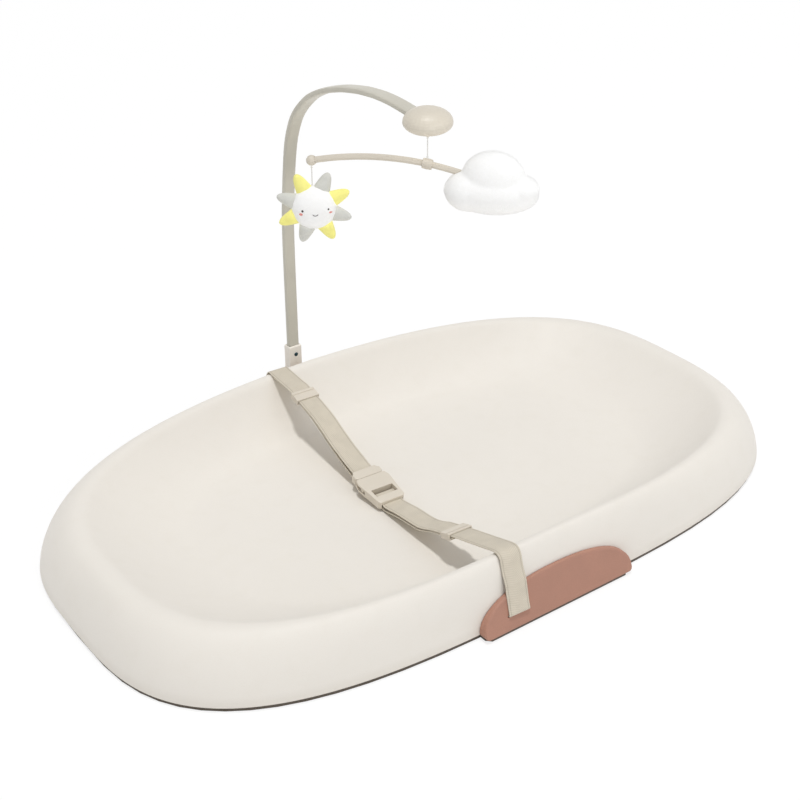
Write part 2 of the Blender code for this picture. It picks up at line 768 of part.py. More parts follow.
def arc(cy, cz, radius, first_deg, last_deg, steps):
    out = []
    for i in range(steps + 1):
        t = math.radians(first_deg + (last_deg - first_deg) * i / steps)
        out.append((cy + radius * math.cos(t), cz + radius * math.sin(t)))
    return out


def rim_path():
    """From the anchor bar through the slot and over the rim, as if at the rear."""
    bar_y, bar_z = anchor_centre()
    turn = ANCHOR_R + GAP + WEB_T / 2
    path = [(bar_y + ANCHOR_TAIL, bar_z - turn)]
    path += arc(bar_y, bar_z, turn, 270.0, 90.0, 8)
    clear = WEB_T / 2 + GAP + SKEW_ROOM
    face = panel_face(SLOT_Z)
    path.append((face + GAP, SLOT_Z))
    path.append((face + clear - GAP, SLOT_Z + GAP))
    path.append((face + clear, SLOT_Z + clear))
    lift = PANEL_TOP_Z - SLOT_Z
    rise = [(panel_face(SLOT_Z + lift * s) + clear, SLOT_Z + lift * s) for s in STRAP_RISE_SHARES]
    top = crest_height(STRAP_X)
    over = []
    for deg in STRAP_WALL_ANGLES_DEG:
        c = math.cos(math.radians(deg))
        s = math.sin(math.radians(deg))
        up = top - WALL_BASE_Z
        inward = CREST_INSET_SIDE * (1 - c) ** WALL_BOW_POWER
        steep = CREST_INSET_SIDE * WALL_BOW_POWER * (1 - c) ** (WALL_BOW_POWER - 1)
        n = Vector((up * c, steep * s)).normalized()
        over.append((MAT_HALF_W - inward + n.x * clear, WALL_BASE_Z + up * s + n.y * clear))
    leave = (MAT_HALF_W - CREST_INSET_SIDE - CREASE_SIDE_W, top + WEB_T / 2 + GAP)
    return path, rise + over + [leave]


LEAVE_SHARE = 0.26


STRAP_RISE_SHARES = (0.3, 0.62, 0.9, 1.07)
STRAP_WALL_ANGLES_DEG = (52.0, 66.0, 78.0, 90.0)
LAYER_HALF = (WEB_T + LAYER_GAP) / 2


def keeper_points(y, z, tilt_deg, layer):
    """Straight run of one layer through a keeper, rim side first."""
    t = math.radians(tilt_deg)
    along = Vector((-math.cos(t), -math.sin(t)))
    up = Vector((-math.sin(t), math.cos(t)))
    base = Vector((y, z)) + up * layer
    return [tuple(base - along * KEEPER_RUN_IN), tuple(base), tuple(base + along * KEEPER_RUN_OUT)]


def buckle_point(y, z):
    """A place in the buckle's frame, given in the strap's frame."""
    t = math.radians(BUCKLE_TILT_DEG)
    return (BUCKLE_Y + y * math.cos(t) - z * math.sin(t),
            BUCKLE_Z + y * math.sin(t) + z * math.cos(t))


def web_path(side, keeper, bar, roof, end):
    """Whole centreline of one half of the strap in the strap's frame."""
    hidden, rim = rim_path()
    upper = keeper_points(*keeper, LAYER_HALF)
    lower = keeper_points(*keeper, -LAYER_HALF)
    t = math.radians(keeper[2])
    tail = (lower[1][0] + math.cos(t) * TAIL_REACH, lower[1][1] + math.sin(t) * TAIL_REACH)
    turn = WEB_BAR_R + GAP + WEB_T / 2
    under = roof - GAP - WEB_T / 2
    sign = 1 if side > 0 else -1

    def world(y, z):
        p = buckle_point(sign * y, z)
        return (side * p[0], p[1])

    out_free = end + BUCKLE_HALF_T
    top_in = [world(out_free, under), world(end, under), world((end + bar) / 2, under)]
    wrap = []
    for y, z in arc(bar, -WEB_BAR_DROP, turn, 90.0, 270.0, 8):
        wrap.append(world(y, z))
    low = -WEB_BAR_DROP - turn
    back = [world(end, low), world(out_free, low)]
    free_top = smooth_path([upper[1], upper[2]] + web_sag(side, upper[2], top_in[0])
                           + top_in[:2], 3)[3:]
    free_low = smooth_path(back + web_sag(side, lower[2], back[1])[::-1]
                           + [lower[2], lower[1]], 3)[:-3]
    run = Vector(rim[-1]).lerp(Vector(upper[0]), LEAVE_SHARE)
    first = smooth_path(rim + [run, upper[0], upper[1]], 3)
    path = [Vector(p) for p in hidden] + first[:-3] + [Vector(upper[1])] + free_top[:-1]
    path += [Vector(p) for p in top_in[1:]] + [Vector(p) for p in wrap]
    path += free_low + [Vector(tail)]
    out = []
    for p in path:
        if not out or (Vector(p) - out[-1]).length > WEB_T / 4:
            out.append(Vector(p))
    return [(side * p.x, p.y) for p in out]


FRONT_SAG_SHARES = ((0.31, 0.052), (0.70, 0.014))
REAR_SAG_SHARES = ((0.22, -0.010), (0.60, 0.016))


def web_sag(side, a, b):
    """Points of the hanging run between a keeper and the buckle."""
    start = Vector(a)
    end = Vector(b)
    span = (end - start).length
    shares = REAR_SAG_SHARES if side > 0 else FRONT_SAG_SHARES
    return [tuple(start.lerp(end, s) - Vector((0.0, span * d))) for s, d in shares]


FRONT_KEEPER = (MAT_HALF_W - FRONT_KEEPER_INSET, CREST_Z_MID - FRONT_KEEPER_DROP,
                FRONT_KEEPER_TILT_DEG)
REAR_KEEPER = (MAT_HALF_W - REAR_KEEPER_INSET, CREST_Z_MID - REAR_KEEPER_DROP,
               REAR_KEEPER_TILT_DEG)
front_web_path = web_path(-1, FRONT_KEEPER, FEMALE_BAR, FEMALE_ROOF, FEMALE_FRONT)
rear_web_path = web_path(1, REAR_KEEPER, MALE_BAR, MALE_ROOF, MALE_BACK)
front_webbing = offset_strip("front_webbing", front_web_path, "web", strap_frame)
rear_webbing = offset_strip("rear_webbing", rear_web_path, "web", strap_frame)


def make_keeper(name, side, keeper):
    y, z, tilt = keeper
    frame = empty(name + "_frame", Matrix.Translation((0.0, side * y, z))
                  @ Matrix.Rotation(side * math.radians(tilt), 4, "X"), strap_frame)
    in_w = WEB_W / 2 + KEEPER_SIDE_GAP
    in_h = LAYER_HALF + WEB_T / 2 + KEEPER_FACE_GAP
    out_w = in_w + KEEPER_WALL
    out_h = in_h + KEEPER_WALL
    keep = box(name, (-out_w, -KEEPER_HALF_LEN, -out_h), (out_w, KEEPER_HALF_LEN, out_h),
               "clip", frame)
    edge_round(keep, KEEPER_WALL / 3, 2)
    hole = box("cut_" + name, (-in_w, -KEEPER_HALF_LEN - OVERRUN, -in_h),
               (in_w, KEEPER_HALF_LEN + OVERRUN, in_h), None, frame)
    boolean(keep, hole)
    groove = box("cut_groove_" + name,
                 (-out_w - OVERRUN, side * KEEPER_GROOVE_AT - KEEPER_GROOVE_HALF,
                  out_h - KEEPER_GROOVE_DEPTH),
                 (out_w + OVERRUN, side * KEEPER_GROOVE_AT + KEEPER_GROOVE_HALF,
                  out_h + OVERRUN), None, frame)
    boolean(keep, groove)
    return keep


make_keeper("front_keeper", -1, FRONT_KEEPER)
make_keeper("rear_keeper", 1, REAR_KEEPER)

# Buckle: local Y runs along the strap towards the rear, local Z is its thickness
buckle_frame = empty("buckle_frame", Matrix.Translation((0.0, BUCKLE_Y, BUCKLE_Z))
                     @ Matrix.Rotation(math.radians(BUCKLE_TILT_DEG), 4, "X"), strap_frame)
CHANNEL_HALF_W = WEB_W / 2 + CHANNEL_SIDE_GAP


def mirrored(half):
    return half + [(-x, y) for x, y in reversed(half)]


female_half = [
    (FEMALE_END_HALF_W - FEMALE_CORNER, -FEMALE_FRONT),
    (FEMALE_END_HALF_W, -FEMALE_FRONT + FEMALE_CORNER),
    (FEMALE_WAIST_HALF_W, -FEMALE_WAIST),
    (FEMALE_SHOULDER_HALF_W, FEMALE_SHOULDER - FEMALE_CORNER),
    (FEMALE_SHOULDER_HALF_W, FEMALE_SHOULDER),
    (FEMALE_MOUTH_HALF_W, FEMALE_MOUTH),
]
buckle_female = prism("buckle_female", mirrored(female_half), BUCKLE_HALF_T, "clip",
                      "XY", buckle_frame, edge=BUCKLE_EDGE_R)
cavity = box("cut_cavity", (-CAVITY_HALF_W, -CAVITY_DEPTH, -CAVITY_HALF_T),
             (CAVITY_HALF_W, FEMALE_MOUTH + OVERRUN, CAVITY_HALF_T), None, buckle_frame)
side_slot = box("cut_side_slot", (-FEMALE_SHOULDER_HALF_W - OVERRUN, -SIDE_SLOT_END, -SIDE_SLOT_HALF_T),
                (FEMALE_SHOULDER_HALF_W + OVERRUN, FEMALE_MOUTH + OVERRUN, SIDE_SLOT_HALF_T),
                None, buckle_frame)
window = box("cut_window", (-CHANNEL_HALF_W, -WINDOW_FRONT, -BUCKLE_HALF_T - OVERRUN),
             (CHANNEL_HALF_W, -WINDOW_BACK, BUCKLE_HALF_T + OVERRUN), None, buckle_frame)
female_channel = box("cut_female_channel",
                     (-CHANNEL_HALF_W, -FEMALE_FRONT - OVERRUN, -BUCKLE_HALF_T - OVERRUN),
                     (CHANNEL_HALF_W, -WINDOW_BACK, FEMALE_ROOF), None, buckle_frame)
female_bar = rod("join_female_bar", WEB_BAR_R,
                 (-CHANNEL_HALF_W - BUCKLE_EDGE_R, -FEMALE_BAR, -WEB_BAR_DROP),
                 (CHANNEL_HALF_W + BUCKLE_EDGE_R, -FEMALE_BAR, -WEB_BAR_DROP),
                 None, buckle_frame, 16)
for cut in (cavity, side_slot, window, female_channel):
    boolean(buckle_female, cut)
boolean(buckle_female, female_bar, "UNION")

male_half = [
    (MALE_END_HALF_W, MALE_FRONT),
    (MALE_EAR_HALF_W, MALE_FRONT + FEMALE_CORNER),
    (MALE_EAR_HALF_W, MALE_FRONT + MALE_EAR_LEN),
    (MALE_END_HALF_W, MALE_BACK - FEMALE_CORNER),
    (MALE_END_HALF_W - FEMALE_CORNER / 2, MALE_BACK),
]
buckle_male = prism("buckle_male", mirrored(male_half), BUCKLE_HALF_T, "clip", "XY",
                    buckle_frame, edge=BUCKLE_EDGE_R)
male_channel = box("cut_male_channel", (-CHANNEL_HALF_W, MALE_CHANNEL, -BUCKLE_HALF_T - OVERRUN),
                   (CHANNEL_HALF_W, MALE_BACK + OVERRUN, MALE_ROOF), None, buckle_frame)
male_bar = rod("join_male_bar", WEB_BAR_R,
               (-CHANNEL_HALF_W - BUCKLE_EDGE_R, MALE_BAR, -WEB_BAR_DROP),
               (CHANNEL_HALF_W + BUCKLE_EDGE_R, MALE_BAR, -WEB_BAR_DROP),
               None, buckle_frame, 16)
guide = box("join_guide", (-TONGUE_GUIDE_HALF_W, -TONGUE_GUIDE_TIP, -TONGUE_GUIDE_HALF_T),
            (TONGUE_GUIDE_HALF_W, MALE_FRONT + BUCKLE_EDGE_R * 2, TONGUE_GUIDE_HALF_T),
            None, buckle_frame)
boolean(buckle_male, male_channel)
boolean(buckle_male, male_bar, "UNION")
boolean(buckle_male, guide, "UNION")


def make_prong(name, side):
    """One springy arm; its origin is its root, where it bends."""
    frame = empty(name + "_pivot", Matrix.Translation((side * PRONG_X, PRONG_PIVOT, 0.0)),
                  buckle_frame)
    tip = -PRONG_PIVOT - PRONG_TIP
    far = -PRONG_PIVOT - PAD_FAR
    near = -PRONG_PIVOT + PAD_NEAR
    span = near - far
    pts = [(-PRONG_HALF_W, tip), (PRONG_HALF_W, tip), (PRONG_HALF_W, far),
           (PAD_OUT * PAD_SHOULDER_SHARE, far + span * PAD_TOP_FAR_SHARE),
           (PAD_OUT, far + span * 0.5),
           (PAD_OUT * PAD_SHOULDER_SHARE, far + span * PAD_TOP_NEAR_SHARE),
           (PRONG_HALF_W, near)]
    pts += arc(0.0, 0.0, PRONG_HALF_W, 0.0, 180.0, 6)
    if side < 0:
        pts = [(-x, y) for x, y in reversed(pts)]
    return prism(name, pts, PRONG_HALF_T, "clip", "XY", frame)


make_prong("buckle_prong_left", -1)
make_prong("buckle_prong_right", 1)

# Socket for the toy arm, screwed to the rear panel
arm_frame = empty("arm_frame", Matrix.Translation((ARM_X, ARM_Y, 0.0)))
lap_z = PANEL_TOP_Z - SOCKET_LAP_DROP
lap_y = panel_face(lap_z) + GAP
foot_y = panel_face(SOCKET_BOTTOM_Z) + GAP
socket_points = [
    (SOCKET_HALF_T, SOCKET_BOTTOM_Z), (SOCKET_HALF_T, SOCKET_TOP_Z),
    (-SOCKET_HALF_T, SOCKET_TOP_Z), (-SOCKET_HALF_T, PANEL_TOP_Z + SOCKET_STEP_RISE),
    (lap_y - ARM_Y, lap_z), (foot_y - ARM_Y, SOCKET_BOTTOM_Z),
]
arm_socket = prism("arm_socket", socket_points, SOCKET_HALF_W, "cap", "YZ", arm_frame)
edge_round(arm_socket, SOCKET_EDGE_R, 2, 60.0)
bore = box("cut_socket_bore", (-ARM_W / 2 - GAP, -ARM_T / 2 - GAP, ARM_FOOT_Z - GAP),
           (ARM_W / 2 + GAP, ARM_T / 2 + GAP, SOCKET_TOP_Z + OVERRUN), None, arm_frame)
boolean(arm_socket, bore)


def make_screw(name, head_r, head_t, shank_r, shank_l, at, key, drive):
    """A screw whose axis is Y; drive is +1 if its head faces +Y."""
    profile = [(0.0, head_t), (head_r * SCREW_CROWN_SHARE, head_t), (head_r, head_t / 2), (head_r, 0.0),
               (shank_r, 0.0), (shank_r, -shank_l), (0.0, -shank_l)]
    turn = Matrix.Rotation(-drive * math.pi / 2, 4, "X")
    frame = empty(name + "_axis", Matrix.Translation(at), arm_frame)
    return turned(name, profile, key, turn, frame, 20)


def screw_bore(name, radius, length, at, drive, targets):
    end = (at[0], at[1] - drive * length, at[2])
    start = (at[0], at[1] + drive * OVERRUN, at[2])
    cut = rod(name, radius, start, end, None, arm_frame, 16)
    for target in targets:
        boolean(target, cut)


clamp_at = (0.0, -SOCKET_HALF_T - GAP, SOCKET_TOP_Z - CLAMP_SCREW_DROP)
make_screw("clamp_screw", CLAMP_HEAD_R, CLAMP_HEAD_T, CLAMP_SHANK_R, CLAMP_SHANK_L,
           clamp_at, "dark", -1)
screw_bore("cut_clamp", CLAMP_SHANK_R + GAP, CLAMP_SHANK_L + GAP, clamp_at, -1, [arm_socket])
for n, x_side in enumerate((-1, 1), 1):
    at = (x_side * MOUNT_SCREW_X, SOCKET_HALF_T + GAP, SOCKET_BOTTOM_Z + MOUNT_SCREW_RISE)
    make_screw("socket_screw_%d" % n, MOUNT_HEAD_R, MOUNT_HEAD_T, MOUNT_SHANK_R, MOUNT_SHANK_L,
               at, "steel", 1)
    screw_bore("cut_mount_%d" % n, MOUNT_SHANK_R + GAP, MOUNT_SHANK_L + GAP, at, 1,
               [arm_socket, rear_panel])


# Arm: a flat tube that thins towards its top, swept in the plane X = 0 of its frame

def arm_centreline():
    rise = ARM_TOP_Z - ARM_FOOT_Z
    return [(reach * ARM_REACH, ARM_FOOT_Z + up * rise) for reach, up in ARM_PATH_SHARES]


def arm_end():
    """Where the arm ends inside the cap, and its direction there."""
    last = Vector(arm_centreline()[-1])
    drop = math.radians(ARM_END_DROP_DEG)
    along = Vector((math.cos(drop), -math.sin(drop)))
    inside = ARM_REACH - CAP_R + ARM_SOCKET_DEPTH / 2
    return last + along * (inside - last.x) / along.x, along


def arm_rings(grow, points):
    total = 0.0
    lengths = [0.0]
    for a, b in zip(points, points[1:]):
        total += (b - a).length
        lengths.append(total)
    rings = []
    for i, p in enumerate(points):
        a = points[max(0, i - 1)]
        b = points[min(len(points) - 1, i + 1)]
        along = (b - a).normalized()
        normal = Vector((-along.y, along.x))
        s = lengths[i] / total
        if s < ARM_TAPER_START_SHARE:
            w, t = ARM_W, ARM_T
        elif s < ARM_TAPER_TOP_SHARE:
            f = (s - ARM_TAPER_START_SHARE) / (ARM_TAPER_TOP_SHARE - ARM_TAPER_START_SHARE)
            w = ARM_W + (ARM_TOP_W - ARM_W) * f
            t = ARM_T + (ARM_TOP_T - ARM_T) * f
        else:
            f = (s - ARM_TAPER_TOP_SHARE) / (1 - ARM_TAPER_TOP_SHARE)
            w = ARM_TOP_W + (ARM_END_W - ARM_TOP_W) * f
            t = ARM_TOP_T + (ARM_END_T - ARM_TOP_T) * f
        ring = []
        for x, y in superellipse(w / 2 + grow, t / 2 + grow, ARM_SECTION_POWER, ARM_SEGMENTS):
            q = p + normal * y
            ring.append((x, -q.x, q.y))
        rings.append(ring)
    return rings


end_point, end_along = arm_end()
arm_points = smooth_path(arm_centreline() + [end_point], 2)
arm = loft("arm", arm_rings(0.0, arm_points), "arm", arm_frame, 50.0)

# Cap and plate at the arm's end; the cap frame is on the axis that the bar turns about
cap_frame = empty("cap_frame", Matrix.Translation((0.0, -ARM_REACH, 0.0)), arm_frame)


def under_radius(depth):
    """Radius of the cap's under side at a depth below its widest ring."""
    return CAP_R * (1 - (depth / CAP_UNDER) ** CAP_POWER) ** (1 / CAP_POWER)


cap_profile = [(0.0, CAP_TOP_Z)]
for i in range(1, CAP_STEPS + 1):
    t = math.radians(90.0 * i / CAP_STEPS)
    cap_profile.append((CAP_R * math.sin(t) ** (2 / CAP_POWER),
                        CAP_WIDEST_Z + CAP_DOME * abs(math.cos(t)) ** (2 / CAP_POWER)))
cap_profile[-1] = (CAP_R, CAP_WIDEST_Z)
for i in range(1, CAP_UNDER_STEPS + 1):
    depth = CAP_RIM_DROP * i / CAP_UNDER_STEPS
    cap_profile.append((under_radius(depth), CAP_WIDEST_Z - depth))
cap_profile.append((0.0, CAP_BASE_Z))
arm_cap = turned("arm_cap", cap_profile, "cap", Matrix.Identity(4), cap_frame)
back = end_point - end_along * (ARM_SOCKET_DEPTH + OVERRUN)
front = end_point + end_along * GAP
end_normal = Vector((-end_along.y, end_along.x))
socket_section = superellipse(ARM_END_W / 2 + GAP, ARM_END_T / 2 + GAP, ARM_SECTION_POWER,
                              ARM_SEGMENTS)
socket_rings = []
for p in (back, front):
    socket_rings.append([(x, -(p + end_normal * y).x, (p + end_normal * y).y)
                         for x, y in socket_section])
cap_socket = loft("cut_cap_socket", socket_rings, None, arm_frame)
boolean(arm_cap, cap_socket)

plate_top = CAP_BASE_Z - GAP
flat_depth = CAP_UNDER * (1 - (PLATE_FLAT_R / CAP_R) ** CAP_POWER) ** (1 / CAP_POWER)
plate_bottom = CAP_WIDEST_Z - flat_depth
plate_profile = [(0.0, plate_top)]
for i in range(PLATE_STEPS + 1):
    t = math.radians(90.0 * i / PLATE_STEPS)
    depth = CAP_RIM_DROP + GAP + (plate_top - plate_bottom) * math.sin(t)
    plate_profile.append((under_radius(depth), CAP_WIDEST_Z - depth))
plate_profile[-1] = (PLATE_FLAT_R, plate_bottom)
plate_profile.append((0.0, plate_bottom))
turned("cap_plate", plate_profile, "cap", Matrix.Identity(4), cap_frame)
stud_top = plate_bottom - GAP
rod("string_stud", STUD_R, (0.0, 0.0, stud_top), (0.0, 0.0, stud_top - STUD_L), "cap", cap_frame, 16)


# Hanging bar: local X of its frame points to the sun toy

def bar_height(s):
    return BAR_PEAK_Z - (BAR_ARC_R - math.sqrt(BAR_ARC_R ** 2 - (s - BAR_PEAK) ** 2))


def bar_slope(s):
    return math.asin((s - BAR_PEAK) / BAR_ARC_R)


bar_frame = empty("bar_frame", Matrix.Rotation(math.radians(BAR_YAW_DEG), 4, "Z"), cap_frame)
bar_pts = []
for i in range(BAR_STEPS + 1):
    s = -BAR_CLOUD_REACH + (BAR_TOY_REACH + BAR_CLOUD_REACH) * i / BAR_STEPS
    bar_pts.append((s, 0.0, bar_height(s)))
tube("bar", bar_pts, BAR_R, "bar", bar_frame, 2)


def bar_matrix(s):
    """Local Z of the result runs along the bar at a place on it."""
    return (Matrix.Translation((s, 0.0, bar_height(s)))
            @ Matrix.Rotation(bar_slope(s) + math.pi / 2, 4, "Y"))


collar_in = BAR_R + GAP
collar_profile = [
    (collar_in, COLLAR_HALF_L), (COLLAR_R - GAP, COLLAR_HALF_L),
    (COLLAR_R, COLLAR_HALF_L - 2 * GAP), (COLLAR_R + GAP, 0.0),
    (COLLAR_R, -COLLAR_HALF_L + 2 * GAP), (COLLAR_R - GAP, -COLLAR_HALF_L),
    (collar_in, -COLLAR_HALF_L),
]
turned("bar_collar", collar_profile, "bar", bar_matrix(0.0), bar_frame, 20, True)

toy_end = BAR_TOY_REACH
cap_in = BAR_R + GAP
seat = END_CAP_SEAT
end_cap_profile = [(0.0, END_CAP_R)]
for deg in (30.0, 60.0, 90.0, 118.0):
    end_cap_profile.append((END_CAP_R * math.sin(math.radians(deg)),
                            END_CAP_R * math.cos(math.radians(deg))))
mouth = -END_CAP_R * math.cos(math.asin(cap_in / END_CAP_R))
end_cap_profile += [(cap_in, mouth), (cap_in, 0.0 + GAP), (0.0, 0.0 + GAP)]
turned("bar_end_cap", end_cap_profile, "bar", bar_matrix(toy_end), bar_frame, 20)

string_top = stud_top - STUD_L - GAP
string_bottom = bar_height(0.0) + (COLLAR_R + GAP) / math.cos(bar_slope(0.0)) + GAP
rod("bar_string", STRING_R, (0.0, 0.0, string_top), (0.0, 0.0, string_bottom), "string",
    cap_frame, 8)

# Sun toy: local Y of its frame is its thickness
toy_z = bar_height(toy_end)
sun_swing = empty("sun_swing_axis", Matrix.Translation((toy_end, 0.0, toy_z - END_CAP_R - GAP)),
                  bar_frame)
sun_frame = empty("sun_frame", Matrix.Translation((0.0, 0.0, toy_z - SUN_DROP
                                                   - (toy_z - END_CAP_R - GAP)))
                  @ Matrix.Rotation(math.radians(SUN_YAW_DEG - BAR_YAW_DEG), 4, "Z"), sun_swing)


def turned_ball(name, half, rings, segments, key, parent, matrix=None, shape=None):
    """A stuffed form whose poles lie on its thickness axis."""
    bm = bmesh.new()
    bmesh.ops.create_uvsphere(bm, u_segments=segments, v_segments=rings, radius=1.0)
    for v in bm.verts:
        unit = Vector((v.co.x, v.co.z, v.co.y))
        if shape is not None:
            unit = shape(unit)
        v.co = Vector([u * h for u, h in zip(unit, half)])
    if matrix is not None:
        bmesh.ops.transform(bm, matrix=matrix, verts=bm.verts)
    return from_bmesh(name, bm, key, parent, 60.0)


sun_half = (SUN_R, SUN_HALF_T, SUN_R)
turned_ball("sun_body", sun_half, SUN_RINGS, SUN_SEGMENTS, "plush", sun_frame)
sun_grown = tuple(h + GAP for h in sun_half)
sun_cutter = turned_ball("cut_sun", sun_grown, SUN_RINGS, SUN_SEGMENTS, None, sun_frame)


def ray_shape(unit):
    """Widens a ball above its middle, then narrows it towards a rounded tip."""
    up = max(0.0, unit.z)
    ball = math.sqrt(max(0.0, 1 - up * up))
    full = (1 - min(1.0, up) ** RAY_TIP_POWER) ** (1 / RAY_TIP_POWER)
    taper = (1 - (1 - RAY_TIP_SHARE) * up) * (full / ball if ball > 0 else 1)
    return Vector((unit.x * taper, unit.y * taper, unit.z))


for i, deg in enumerate(RAY_DEGS):
    turn = Matrix.Rotation(-math.radians(deg - 90.0), 4, "Y")
    place = turn @ Matrix.Translation((0.0, 0.0, RAY_CENTRE_R))
    ray = turned_ball("sun_ray_%d" % (i + 1), (RAY_HALF_W, RAY_HALF_T, RAY_HALF_L),
                      RAY_RINGS, RAY_SEGMENTS, "grey" if i % 2 == 0 else "yellow",
                      sun_frame, place, ray_shape)
    boolean(ray, sun_cutter)

sun_string_top = -GAP
sun_string_bottom = SUN_R - SUN_DROP + END_CAP_R + GAP + GAP
rod("sun_string", STRING_R, (0.0, 0.0, sun_string_top), (0.0, 0.0, sun_string_bottom),
    "string", sun_swing, 8)

# Cloud toy: three stuffed lobes pushed onto the other end of the bar
cloud_z = bar_height(-BAR_CLOUD_REACH) - CLOUD_DROP
cloud_frame = empty("cloud_frame", Matrix.Translation((-BAR_CLOUD_REACH - CLOUD_PAST_BAR, 0.0, cloud_z))
                    @ Matrix.Rotation(math.radians(CLOUD_YAW_DEG - BAR_YAW_DEG), 4, "Z")
                    @ Matrix.Rotation(math.radians(CLOUD_TILT_DEG), 4, "Y"), bar_frame)


def lobe(name, half, at, key, grow=0.0):
    return ellipsoid(name, tuple(h + grow for h in half), at, CLOUD_RINGS, CLOUD_SEGMENTS,
                     key, cloud_frame)


cloud_top = lobe("cloud_top", CLOUD_TOP_HALF, CLOUD_TOP_AT, "plush")
cloud_base = lobe("cloud_base", CLOUD_BASE_HALF, (0.0, 0.0, 0.0), "plush")
cloud_side = lobe("cloud_side", CLOUD_SIDE_HALF, CLOUD_SIDE_AT, "plush")
base_cutter = lobe("cut_cloud_base", CLOUD_BASE_HALF, (0.0, 0.0, 0.0), None, GAP)
top_cutter = lobe("cut_cloud_top", CLOUD_TOP_HALF, CLOUD_TOP_AT, None, GAP)
boolean(cloud_top, base_cutter)
boolean(cloud_side, base_cutter)
boolean(cloud_side, top_cutter)
sleeve_pts = [p for p in bar_pts if p[0] < -BAR_CLOUD_REACH / 4]
first = sleeve_pts[0]
step = Vector(first) - Vector(sleeve_pts[1])
sleeve_pts = [tuple(Vector(first) + step.normalized() * GAP)] + sleeve_pts[1:]
sleeve = tube("cut_sleeve", sleeve_pts, BAR_R + GAP, None, bar_frame, 2)
boolean(cloud_top, sleeve)
boolean(cloud_base, sleeve)
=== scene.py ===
"""Looks of the contoured changing mat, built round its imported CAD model.

Units are metres, +Z is up, and every piece lies in the frame of the CAD model.
"""
import json
import math

import bmesh
import bpy
import numpy as np
from mathutils import Matrix, Vector

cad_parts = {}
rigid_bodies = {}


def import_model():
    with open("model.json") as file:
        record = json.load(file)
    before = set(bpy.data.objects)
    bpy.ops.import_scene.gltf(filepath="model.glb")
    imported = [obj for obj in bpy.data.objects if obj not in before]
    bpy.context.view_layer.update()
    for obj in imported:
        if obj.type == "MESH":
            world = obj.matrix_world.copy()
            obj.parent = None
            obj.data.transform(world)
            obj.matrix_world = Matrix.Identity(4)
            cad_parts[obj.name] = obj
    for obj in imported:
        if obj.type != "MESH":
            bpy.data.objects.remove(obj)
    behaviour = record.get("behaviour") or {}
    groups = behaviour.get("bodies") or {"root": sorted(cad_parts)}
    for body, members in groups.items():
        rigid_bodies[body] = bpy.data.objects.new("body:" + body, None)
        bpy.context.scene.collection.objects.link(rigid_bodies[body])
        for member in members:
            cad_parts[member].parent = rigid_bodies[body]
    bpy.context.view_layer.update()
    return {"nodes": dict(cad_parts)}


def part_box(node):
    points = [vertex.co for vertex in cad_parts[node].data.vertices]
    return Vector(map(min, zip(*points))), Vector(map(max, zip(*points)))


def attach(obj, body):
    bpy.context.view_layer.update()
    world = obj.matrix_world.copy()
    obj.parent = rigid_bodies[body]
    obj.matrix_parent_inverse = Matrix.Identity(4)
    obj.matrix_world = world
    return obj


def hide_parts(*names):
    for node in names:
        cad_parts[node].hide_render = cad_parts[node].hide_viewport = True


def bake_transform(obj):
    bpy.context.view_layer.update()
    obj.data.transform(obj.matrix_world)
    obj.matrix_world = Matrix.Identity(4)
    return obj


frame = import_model()
NODES = frame["nodes"]
SCENE = bpy.context.scene


# Camera: distance, turn and lens were fitted to the mat's outline and the arm

CAM_AZIMUTH = -36.5
CAM_ELEVATION = 29.45
CAM_DISTANCE = 1.598
CAM_TARGET = (0.065, 0.1275, 0.040)
FOCAL_PIXELS = 1351.0
IMAGE_PIXELS = 800.0
NEAR_CLIP = 0.05


def make_camera():
    data = bpy.data.cameras.new("camera")
    data.lens = FOCAL_PIXELS / IMAGE_PIXELS * data.sensor_width
    data.clip_start = NEAR_CLIP
    obj = bpy.data.objects.new("camera", data)
    SCENE.collection.objects.link(obj)
    az = math.radians(CAM_AZIMUTH)
    el = math.radians(CAM_ELEVATION)
    away = Vector((math.sin(az) * math.cos(el), -math.cos(az) * math.cos(el), math.sin(el)))
    obj.location = Vector(CAM_TARGET) + away * CAM_DISTANCE
    obj.rotation_euler = (-away).to_track_quat("-Z", "Y").to_euler()
    SCENE.camera = obj


make_camera()


# Node helpers

def srgb(r, g, b):
    """A colour seen in the photograph, 0 to 255, as linear light."""
    out = []
    for c in (r, g, b):
        c /= 255.0
        out.append(c / 12.92 if c <= 0.04045 else ((c + 0.055) / 1.055) ** 2.4)
    return tuple(out) + (1.0,)


def shade(colour, by):
    return tuple(min(1.0, c * by) for c in colour[:3]) + (1.0,)


